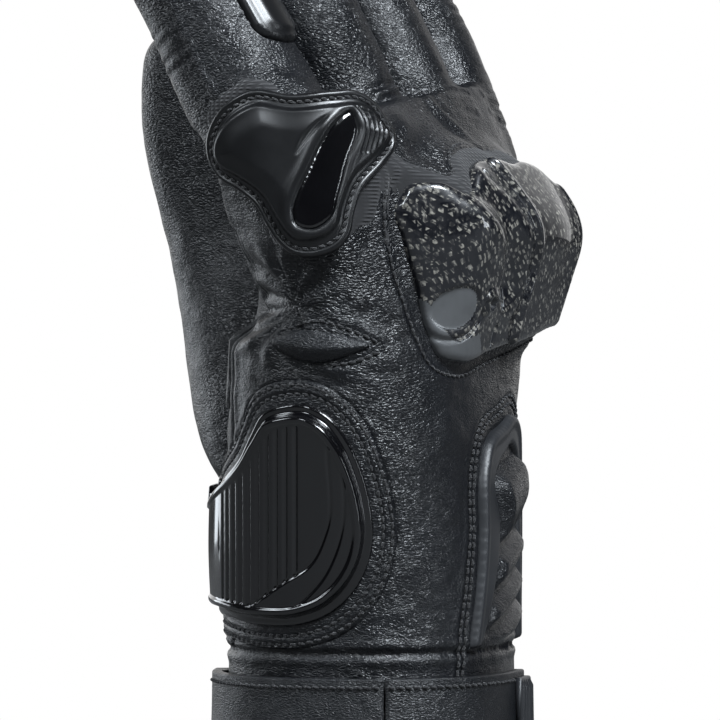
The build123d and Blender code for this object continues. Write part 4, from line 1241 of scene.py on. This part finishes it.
def guard_height(p, depth):
    h = -1.7 * (1 - edge_lift(depth, 2.4))
    block = depth_inside(BLOCK_RIM, p)
    h += 1.25 * step(-0.1, 0.9, block) + 0.25 * np.exp(-((block - 1.2) / 0.7) ** 2)
    h -= 1.5 * (1 - step(0.0, 6.0, distance_to(VALLEY, p)))
    h += 0.5 * np.exp(-((distance_to(VALLEY, p) - 7.0) / 2.4) ** 2)
    from_disc = np.linalg.norm(p - DISC_AT, axis=1)
    h -= 0.55 * (1 - step(4.7, 5.5, from_disc))
    h -= 0.7 * groove(p, HOOK, 2.2)
    knob = np.linalg.norm(p - KNOB_AT, axis=1)
    h += 1.1 * np.sqrt(np.clip(1 - (knob / 3.6) ** 2, 0, 1)) - 1.4 * (1 - step(1.1, 1.8, knob))
    for x, z in SLOTS:
        slot = np.hypot((p[:, 0] - x) * 1.5, np.maximum(np.abs(p[:, 1] - z) - 1.6, 0))
        h -= 0.55 * (1 - step(0.9, 1.5, slot))
    return h


guard = laid_sheet("knuckle_guard_shell", RIM_OF_GUARD, PITCH, guard_lay, guard_height, 3.2, CARBON)
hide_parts("knuckle_guard")
guard.data.materials.append(SATIN_GREY)
BARE_BAND = ((10.0, 118.2), (14.3, 115.7), (16.2, 110.8), (19.2, 107.6), (24.9, 109.6), (25.4, 104.0),
             (19.0, 101.0), (13.0, 103.0), (9.0, 110.0))
guard_co, _ = read_mesh(guard)
centres = np.array([guard_co[list(face.vertices)].mean(0) for face in guard.data.polygons])
bare = np.linalg.norm(back_2d(centres) - DISC_AT, axis=1) < 4.8
bare |= depth_inside(np.array(BARE_BAND), side_2d(centres)) > 0
for x, z in SLOTS:
    bare |= np.hypot((centres[:, 0] - x) * 1.5, np.maximum(np.abs(centres[:, 2] - z) - 1.6, 0)) < 1.1
guard.data.polygons.foreach_set("material_index", bare.astype(int))
GUARD_FOAM_RIM = smooth_path(outset(RIM_OF_GUARD, -1.6)[::3], 1.0, closed=True)
guard_foam = laid_sheet("guard_foam", GUARD_FOAM_RIM, 1.4, guard_lay,
                        lambda p, depth: -3.6 + 0.4 * edge_lift(depth, 2.0), 4.0, MATTE)
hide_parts("guard_pad")

# ------------------------------------------------------------------ thread


def stitches(name, path, ups, pitch=2.0, length=1.7, radius=0.34, body="glove"):
    """Short rounded stitches along a path, their ends pulled into the leather."""
    run = run_along(path)
    count = max(int(run[-1] / pitch), 1)
    at = (np.arange(count) + 0.5) * run[-1] / count
    centre = np.stack([np.interp(at, run, path[:, k]) for k in range(3)], axis=1)
    up = np.stack([np.interp(at, run, ups[:, k]) for k in range(3)], axis=1)
    ahead = np.stack([np.interp(at + 0.5, run, path[:, k]) - np.interp(at - 0.5, run, path[:, k])
                      for k in range(3)], axis=1)
    ahead /= np.maximum(np.linalg.norm(ahead, axis=1), 1e-9)[:, None]
    up -= ahead * (up * ahead).sum(1)[:, None]
    up /= np.linalg.norm(up, axis=1)[:, None]
    side = np.cross(ahead, up)
    slanting = ahead + side * 0.16
    places = np.array((-0.5, -0.42, -0.25, 0.0, 0.25, 0.42, 0.5))
    thick = np.array((0.25, 0.75, 1.0, 1.0, 1.0, 0.75, 0.25)) * radius
    arch = radius * (1.0 - 3.2 * places ** 2) - THREAD_SINK
    around_thread = turned_round(8)
    rings = (centre[:, None, None] + slanting[:, None, None] * (places * length)[None, :, None, None]
             + up[:, None, None] * (arch[None, :, None, None]
                                    + (thick[:, None] * np.sin(around_thread)[None])[None, :, :, None])
             + side[:, None, None] * (thick[:, None] * np.cos(around_thread)[None])[None, :, :, None])
    verts = rings.reshape(-1, 3)
    one = grid_faces(len(places), 8) + [tuple(range(8))[::-1], tuple(range(48, 56))]
    faces = [tuple(v + 56 * k for v in face) for k in range(count) for face in one]
    return mesh_object(name, verts, faces, THREAD, body)


def sew(name, path, **how):
    spots, ups = on_skin(path)
    return stitches(name + "_thread", spots, ups, **how)


def sew_chart(name, path, lay, lift, **how):
    """Stitches round a closed path on a laid sheet, at a height above its chart."""
    closed = np.vstack([path, path[:1]])
    point, normal = frame_at(lay, closed)
    return stitches(name + "_thread", point + normal * lift, normal, **how)


for key in ("frame_near", "frame_far", "guard_row", "puff_top", "puff_low"):
    sew(key, STITCHED[key])
for key, row in (("slider_near", WELT_ROW_A), ("slider_far", WELT_ROW_B)):
    level = welt_height(row, depth_inside(WELT_RIM, row)).mean()
    sew_chart(key, row, rolled, level)
level = plate_height(PLATE_ROW, depth_inside(RIM_OF_PLATE, PLATE_ROW)).mean()
sew_chart("plate_row", PLATE_ROW, plate_lay, level, pitch=1.9, length=1.5, radius=0.36)

# ------------------------------------------------------------------ stretch panel, pleat, palm and caps


def hand_lay(direction, across):
    """Chart of one side of the hand, by its place across the view and its height."""
    def lay(a, z):
        return spot(direction, across, a, z)
    return lay


FRAME_RIM = smooth_path(FRAME_OUTER, 0.6)
FRAME_HOLE = smooth_path(FRAME_INNER, 0.6)
FRAME_FACE = np.vstack([FRAME_RIM, FRAME_HOLE[::-1]])


def frame_height(p, depth):
    outer = distance_to(FRAME_RIM, p)
    return 0.4 + 1.6 * edge_lift(depth, 1.5) - 0.55 * step(1.8, 3.4, outer)


BACK_LAY = hand_lay(BACK, THUMBWARD)
arch = laid_sheet("stretch_frame_moulding", FRAME_FACE, PITCH * 1.3, BACK_LAY, frame_height, 1.8, MATTE)
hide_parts("stretch_frame")

Roll = namedtuple("Roll", "height radius")
ROLLS = (Roll(40.5, 4.6), Roll(48.0, 4.8), Roll(56.8, 5.6), Roll(69.5, 8.6))
ROLL_X, ROLL_SLOPE = 8.0, math.radians(22)
ROLL_RISE = math.tan(ROLL_SLOPE) * 0.72
PUCKER_AT = 0.24


def roll_bounds(z_low, z_high):
    """Closed outline of one roll: between two sloping lines, inside the frame's opening."""
    level = FRAME_HOLE[:, 1] - (FRAME_HOLE[:, 0] - ROLL_X) * ROLL_RISE
    sides = []
    for on_right in (True, False):
        mine = (level > z_low) & (level < z_high) & ((FRAME_HOLE[:, 0] > ROLL_X) == on_right)
        order = np.argsort(level[mine])
        sides.append(FRAME_HOLE[mine][order])
    lines = []
    for z0 in (z_low, z_high):
        xs = np.linspace(-16, 26, 160)
        zs = np.maximum(z0 + (xs - ROLL_X) * ROLL_RISE, ROLL_FOOT)
        line = np.stack([xs, zs], axis=1)
        lines.append(line[inside(FRAME_HOLE, line)])
    return np.vstack([lines[0], sides[0], lines[1][::-1], sides[1][::-1]])


def roll_lift(radius, z_low, z_high):
    def height(p, depth):
        z = p[:, 1] - (p[:, 0] - ROLL_X) * ROLL_RISE
        t = np.clip((z - z_low) / (z_high - z_low), 0, 1)
        crown = (4 * t * (1 - t)) ** 0.5 * (0.72 + 0.28 * t)
        ends = step(0.0, 3.4, depth) * 0.7 + 0.3
        puckers = np.cos(p[:, 0] * 3.9) * np.exp(-((t - PUCKER_AT) / 0.13) ** 2) * step(0.6, 2.0, depth)
        sewn_in = 0.5 * np.exp(-((t - PUCKER_AT) / 0.1) ** 2)
        return -0.6 + (radius * 0.66) * crown * ends + 0.22 * puckers - sewn_in
    return height


EDGES = [FRAME_FOOT] + [(ROLLS[i].height + ROLLS[i].radius + ROLLS[i + 1].height - ROLLS[i + 1].radius) / 2
                  for i in range(3)] + [80.5]
for i, roll in enumerate(ROLLS):
    low, high = EDGES[i], EDGES[i + 1]
    bounds = roll_bounds(low + 0.15, high - 0.15)
    if len(bounds) < 8:
        continue
    lift = roll_lift(roll.radius, low, high)
    piece = laid_sheet(f"stretch_roll_{i + 1}", bounds, 0.7, BACK_LAY, lift, 0.6, LEATHER_BLACK)
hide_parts("stretch_rolls")

PUFF_RIM = round_corners(PUFF, 0.5)


def side_lay(a, z):
    return spot(OUT, ACROSS, a, z) + np.outer(pinch_shift(spot(OUT, ACROSS, a, z)), ACROSS)


puff = laid_sheet("side_pleat_leather", PUFF_RIM, 0.45, side_lay,
                  lambda p, depth: 0.15 + 2.3 * np.clip(depth / 3.6, 0, 1) ** 0.6, 1.2, LEATHER_STRAP)
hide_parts("side_pleat")

PATCH_RIM = round_corners(((-31.0, 92.0), (-27.0, 132.0), (-4.0, 138.0), (34.0, 134.0), (38.0, 118.0),
                           (36.0, 108.0), (10.0, 112.0), (-6.0, 96.0), (-10.0, 98.0), (-20.0, 96.0)), 0.8)
PATCH_ROW = smooth_path(outset(PATCH_RIM, -1.8)[::4], 1.0, closed=True)


def palm_lay(a, z):
    point = spot(PALM, THUMBWARD, a, z)
    return point + np.outer(pinch_shift(point), ACROSS)


def patch_height(p, depth):
    return 0.35 + 0.85 * edge_lift(depth, 1.0) - 0.3 * groove(p, PATCH_ROW, 1.4, closed=True)


patch = laid_sheet("palm_patch_leather", PATCH_RIM, 0.8, palm_lay, patch_height, 1.4, LEATHER_PALM,
                   flip=True)
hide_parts("palm_patch")


def digit_lay(rings, centre_at):
    """Chart of a digit's back: arc round it, and length along it from centre_at."""
    centres, radii, knots = digit_line(rings)

    def lay(a, b):
        at = np.clip(centre_at + b, 0, knots[-1])
        middle = curve_through(knots, centres, at)
        over = centre_at + b - at
        ways = curve_through(knots, centres, np.minimum(at + 0.4, knots[-1]))
        ways = ways - curve_through(knots, centres, np.maximum(at - 0.4, 0))
        ways = unit(ways)
        across = unit(THUMBWARD - ways * (ways @ THUMBWARD)[:, None])
        back = -np.cross(ways, across)
        r = curve_through(knots, radii, at)
        tip = radii[-1]
        r = np.where(over > 0, np.sqrt(np.maximum(tip ** 2 - over ** 2, 1.0)), r)
        turn = (a / tip)[:, None]
        return middle + ways * over[:, None] + r[:, None] * (across * np.sin(turn) + back * np.cos(turn))
    return lay


CAP_RADIUS = 7.5
CAP_HALF_STRAIGHT = 5.5
TURNS = np.radians(np.arange(0, 360, 6))
CAP_RIM = np.stack([CAP_RADIUS * np.cos(TURNS),
                    CAP_RADIUS * np.sin(TURNS) + CAP_HALF_STRAIGHT * np.sign(np.sin(TURNS))], axis=1)


def cap_height(p, depth):
    return 0.3 + 1.4 * edge_lift(depth, 1.2) + 0.9 * step(1.8, 3.6, depth)


for name, rings in FINGERS.items():
    knots = digit_line(rings)[2]
    lay = digit_lay(rings, (knots[-3] + knots[-2]) / 2)
    cap = laid_sheet(f"{name}_cap", CAP_RIM, 0.6, lay, cap_height, 1.6, SATIN)
    if name == "pinky":
        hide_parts("finger_caps")

# ------------------------------------------------------------------ cuff, strap and lining


def around(levels_and_grow, angles, name, material, body="glove", solid=False):
    """A swept band round the cuff: rings of (z, outward growth) at angles from +X, in degrees."""
    directions = np.radians(np.asarray(angles, float))
    rows = []
    for z, grow in levels_and_grow:
        ring = hand_rows(TABLE_PHI, np.array([z]), grow)[0]
        bearing = np.unwrap(np.arctan2(ring[:, 1], ring[:, 0]))
        bearing -= 2 * math.pi * round(bearing[0] / (2 * math.pi))
        wrap = np.mod(directions - bearing[0], 2 * math.pi) + bearing[0]
        long_bearing = np.append(bearing, bearing[0] + 2 * math.pi)
        rows.append(np.stack([np.interp(wrap, long_bearing, np.append(ring[:, k], ring[0, k]))
                              for k in range(3)], axis=1))
    verts = np.vstack(rows)
    n, m = len(rows), len(directions)
    if solid:
        faces = grid_faces(n, m, closed=False)
        faces += [((n - 1) * m + c, (n - 1) * m + c + 1, c + 1, c) for c in range(m - 1)]
        faces += [tuple(r * m for r in range(n)), tuple(r * m + m - 1 for r in range(n))[::-1]]
    else:
        faces = grid_faces(n, m)
    return mesh_object(name, verts, faces, material, body)


def soft_section(low, high, inner, outer, edge=0.5):
    """Section of a leather strip: flat faces and rounded edges, as (z, growth) pairs."""
    steps = np.linspace(0, math.pi / 2, 5)
    points = [(low + edge * (1 - math.sin(t)), outer - edge * (1 - math.cos(t))) for t in steps[::-1]]
    points += [(z, outer) for z in np.linspace(low + edge, high - edge, 12)[1:-1]]
    points += [(high - edge * (1 - math.sin(t)), outer - edge * (1 - math.cos(t))) for t in steps]
    return points + [(high, inner), (low, inner)]


turn = np.arange(0, 360, 1.5)
binding_rows = [(0.0, -WALL)] + [(3.15 - 3.15 * math.cos(t), -0.4 + 1.6 * math.sin(t)) for t in
                                 np.linspace(0.0, math.pi, 14)] + [(6.2, -0.6)]
binding = around(binding_rows, turn, "cuff_binding_roll", LEATHER_STRAP)
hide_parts("cuff_binding")

LINING_FOOT = -0.6
lining = fused("lining", glove_bodies(-WALL, -3.0, 160.0), 1.6, 6)
lining_co, lining_no = read_mesh(lining)
write_mesh(lining, drape(lining_co, lining_no, layer=1.0, fine=False))
mesh = lining.data
faces = [tuple(p.vertices)[::-1] for p in mesh.polygons
         if all(lining_co[v][2] > LINING_FOOT for v in p.vertices)]
lining_shaped, _ = read_mesh(lining)
liner = mesh_object("knit_lining", lining_shaped, faces, KNIT, "glove")
bpy.data.objects.remove(lining)
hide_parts("hand_liner", "digit_liners")

STRAP_LOW, STRAP_HIGH, STRAP_IN, STRAP_OUT = 9.5, 30.5, 1.6, 3.8
ROOT, MIDDLE, END = 134.0, 208.0, 284.0
GAP = math.degrees(0.4 / 42.0)
STRAP_SECTION = soft_section(STRAP_LOW, STRAP_HIGH, STRAP_IN, STRAP_OUT)
TAPE_LOW, TAPE_HIGH = 12.0, 28.0
anchor = around(soft_section(STRAP_LOW, STRAP_HIGH, 0.1, STRAP_OUT), np.linspace(118, ROOT, 14),
                "strap_root_leather", LEATHER_STRAP, solid=True)
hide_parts("strap_anchor")
strap = around(STRAP_SECTION, np.linspace(ROOT + GAP, MIDDLE, 60), "strap_leather", LEATHER_STRAP,
               body=None, solid=True)
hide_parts("strap_base")
strap_tip = around(STRAP_SECTION, np.linspace(MIDDLE + GAP, END, 60), "strap_end_leather", LEATHER_STRAP,
                   body=None, solid=True)
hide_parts("strap_end")
BEND = 10.0


def band_path(z, grow, start, end, count=80):
    """Points round the cuff from one bearing to another, with their outward directions."""
    rows = hand_rows(TABLE_PHI, np.array([z]), grow)[0]
    bearing = np.degrees(np.arctan2(rows[:, 1], rows[:, 0])) % 360
    order = np.argsort(bearing)
    angles = np.linspace(start, end, count)
    path = np.stack([np.interp(angles % 360, bearing[order], rows[order, k], period=360)
                     for k in range(3)], axis=1)
    return path, path * (1, 1, 0) / np.linalg.norm(path[:, :2], axis=1)[:, None]


def bend_at(piece, body, next_body, angle):
    """Bakes the piece's transform into its mesh; the places ten degrees past the strap's hinge are found
    but not used, and the leather is not bent.
    """
    places = band_path(20.0, 2.7, angle, angle + BEND, 2)[0] * MM
    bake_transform(piece)


bend_at(strap, "glove", "strap_base", ROOT)
bend_at(strap_tip, "strap_base", "strap_end", MIDDLE)
hook = around(soft_section(TAPE_LOW, TAPE_HIGH, 1.0, 1.55, 0.15), np.linspace(MIDDLE + 14, END - 4, 50),
              "hook_tape", TAPE, solid=True, body="strap_end")
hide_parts("strap_hook_tape")
loop_tape = around(soft_section(TAPE_LOW, TAPE_HIGH, 0.15, 0.7, 0.15),
                   np.linspace(MIDDLE + 6, END + 6, 60), "loop_tape", TAPE, solid=True)
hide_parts("cuff_loop_tape")
tab_rows = soft_section(STRAP_LOW + 1.5, STRAP_HIGH - 1.5, STRAP_OUT + 0.1, STRAP_OUT + 1.6, 0.6)
tab = around(tab_rows, np.linspace(END - 15, END, 40), "pull_tab_moulding", MATTE, solid=True,
             body="strap_end")
co, _ = read_mesh(tab)
bearing = np.degrees(np.arctan2(co[:, 1], co[:, 0])) % 360
ridge = np.maximum(np.cos((bearing - END + 7.5) / 3.0 * 2 * math.pi), 0) ** 2
inner_part = (co[:, 2] > STRAP_LOW + 3) & (co[:, 2] < STRAP_HIGH - 3)
radial = co * (1, 1, 0) / np.linalg.norm(co[:, :2], axis=1)[:, None]
top = np.array([g > STRAP_OUT + 1.4 for _, g in tab_rows]).repeat(40)
write_mesh(tab, co + radial * (0.8 * ridge * inner_part * top)[:, None])
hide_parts("pull_tab")

loop = around(soft_section(14.0, 30.0, -WALL - 1.3, -WALL - 0.1, 0.25), np.linspace(83, 97, 10),
              "pull_loop_webbing", WEBBING, solid=True)
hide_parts("pull_loop")


for name, start, end, bodies in (("base", ROOT + 2, MIDDLE - 1, ("glove", "strap_base")),
                                 ("end", MIDDLE + 1, END - 16, ("strap_base", "strap_end"))):
    for z in (STRAP_LOW + 2.0, STRAP_HIGH - 2.0):
        path, ups = band_path(z, STRAP_OUT, start, end)
        row = stitches(f"strap_{name}_{round(z)}_thread", path, ups, body=None)
        bend_at(row, *bodies, ROOT if name == "base" else MIDDLE)
path, ups = band_path(BINDING_HEIGHT + 1.6, 0.1, 0, 359.9, 300)
stitches("binding_thread", path, ups)

# ------------------------------------------------------------------ floor, light and camera


def floor_material():
    """Pale paper to the eye, darker to reflections. It keeps the shadow and runs out into white."""
    material, tree, shader, where = new_material("floor_paper")
    grain = noise_node(tree, where, 900.0, 3.0)
    seen = node(tree, "ShaderNodeLightPath").outputs["Is Camera Ray"]
    pale = math_node(tree, "ADD", math_node(tree, "MULTIPLY", seen, 0.74),
                     math_node(tree, "MULTIPLY_ADD", grain, 0.04, 0.12))
    tree.links.new(pale, shader.inputs["Base Color"])
    shader.inputs["Roughness"].default_value = 0.9
    shader.inputs["Specular IOR Level"].default_value = 0.1
    tree.links.new(bump(tree, grain, 0.0001, 0.2), shader.inputs["Normal"])
    far = node(tree, "ShaderNodeVectorMath", operation="LENGTH")
    tree.links.new(where, far.inputs[0])
    light = node(tree, "ShaderNodeEmission")
    fade = ramp(tree, far.outputs["Value"], [(0.14, 0.35), (0.24, 1.0)])
    mixed = node(tree, "ShaderNodeMixShader")
    tree.links.new(math_node(tree, "MULTIPLY", fade, seen), mixed.inputs[0])
    tree.links.new(shader.outputs[0], mixed.inputs[1])
    tree.links.new(light.outputs[0], mixed.inputs[2])
    out = tree.get_output_node("ALL")
    tree.links.new(mixed.outputs[0], out.inputs[0])
    return material


FLOOR_REACH = 3000
CORNERS = ((-1, -1, 0), (1, -1, 0), (1, 1, 0), (-1, 1, 0))
floor = mesh_object("floor", np.array(CORNERS) * FLOOR_REACH, [(0, 1, 2, 3)], floor_material())


LAMP_COLOUR = (0.87, 0.935, 1.0)


def area_light(name, place, target, size, power):
    data = bpy.data.lights.new(name, "AREA")
    data.shape = "RECTANGLE"
    data.size, data.size_y = size
    data.energy = power
    data.color = LAMP_COLOUR
    obj = bpy.data.objects.new(name, data)
    obj.location = place
    obj.rotation_euler = (Vector(target) - Vector(place)).to_track_quat("-Z", "Y").to_euler()
    bpy.context.scene.collection.objects.link(obj)
    return obj


VIEW_CENTRE = (-3.0, 103.6)
CAMERA_DISTANCE, FIELD_WIDTH, SENSOR_WIDTH = 1.2, 0.1714, 36.0
MIDDLE_POINT = ACROSS * VIEW_CENTRE[0] * MM + UP * VIEW_CENTRE[1] * MM


def at_view(across, out, up):
    """A place given across the side view, out towards the camera and up, in metres."""
    return tuple(ACROSS * across + OUT * out + UP * up)


area_light("key", at_view(0.5, 0.6, 1.0), MIDDLE_POINT, (0.4, 0.35), 27.0)
area_light("front_box", at_view(-0.4, 0.8, 0.72), MIDDLE_POINT, (0.2, 0.2), 3.0)
area_light("left_box", at_view(-1.0, 0.25, 0.95), MIDDLE_POINT, (0.35, 0.5), 6.5)
area_light("left_rim", at_view(-0.9, -0.75, 0.0), MIDDLE_POINT, (0.65, 1.1), 6.5)
area_light("fill", at_view(1.1, 0.5, 0.1), MIDDLE_POINT, (0.12, 0.8), 3.0)

world = bpy.data.worlds.new("studio")
bpy.context.scene.world = world
world.use_nodes = True
tree = world.node_tree
background = tree.nodes["Background"]
paths = tree.nodes.new("ShaderNodeLightPath")
way = tree.nodes.new("ShaderNodeTexCoord").outputs["Generated"]
facing = node(tree, "ShaderNodeVectorMath", operation="DOT_PRODUCT")
facing.inputs[1].default_value = tuple(-OUT)
tree.links.new(way, facing.inputs[0])
towards_wall = math_node(tree, "MULTIPLY_ADD", facing.outputs["Value"], 0.5, 0.5)
studio = ramp(tree, towards_wall, [(0.8, 0.02), (0.97, 1.0)])
seen = math_node(tree, "MAXIMUM", paths.outputs["Is Camera Ray"], paths.outputs["Is Transmission Ray"])
background.inputs["Color"].default_value = (1, 1, 1, 1)
tree.links.new(math_node(tree, "MAXIMUM", seen, studio), background.inputs["Strength"])

camera_data = bpy.data.cameras.new("camera")
camera_data.sensor_width = SENSOR_WIDTH
camera_data.lens = SENSOR_WIDTH * CAMERA_DISTANCE / FIELD_WIDTH
camera_data.clip_start = 0.05
camera = bpy.data.objects.new("camera", camera_data)
camera.location = MIDDLE_POINT + OUT * CAMERA_DISTANCE
camera.rotation_euler = (-Vector(OUT)).to_track_quat("-Z", "Y").to_euler()
bpy.context.scene.collection.objects.link(camera)
bpy.context.scene.camera = camera
bpy.context.scene.view_settings.view_transform = "Standard"
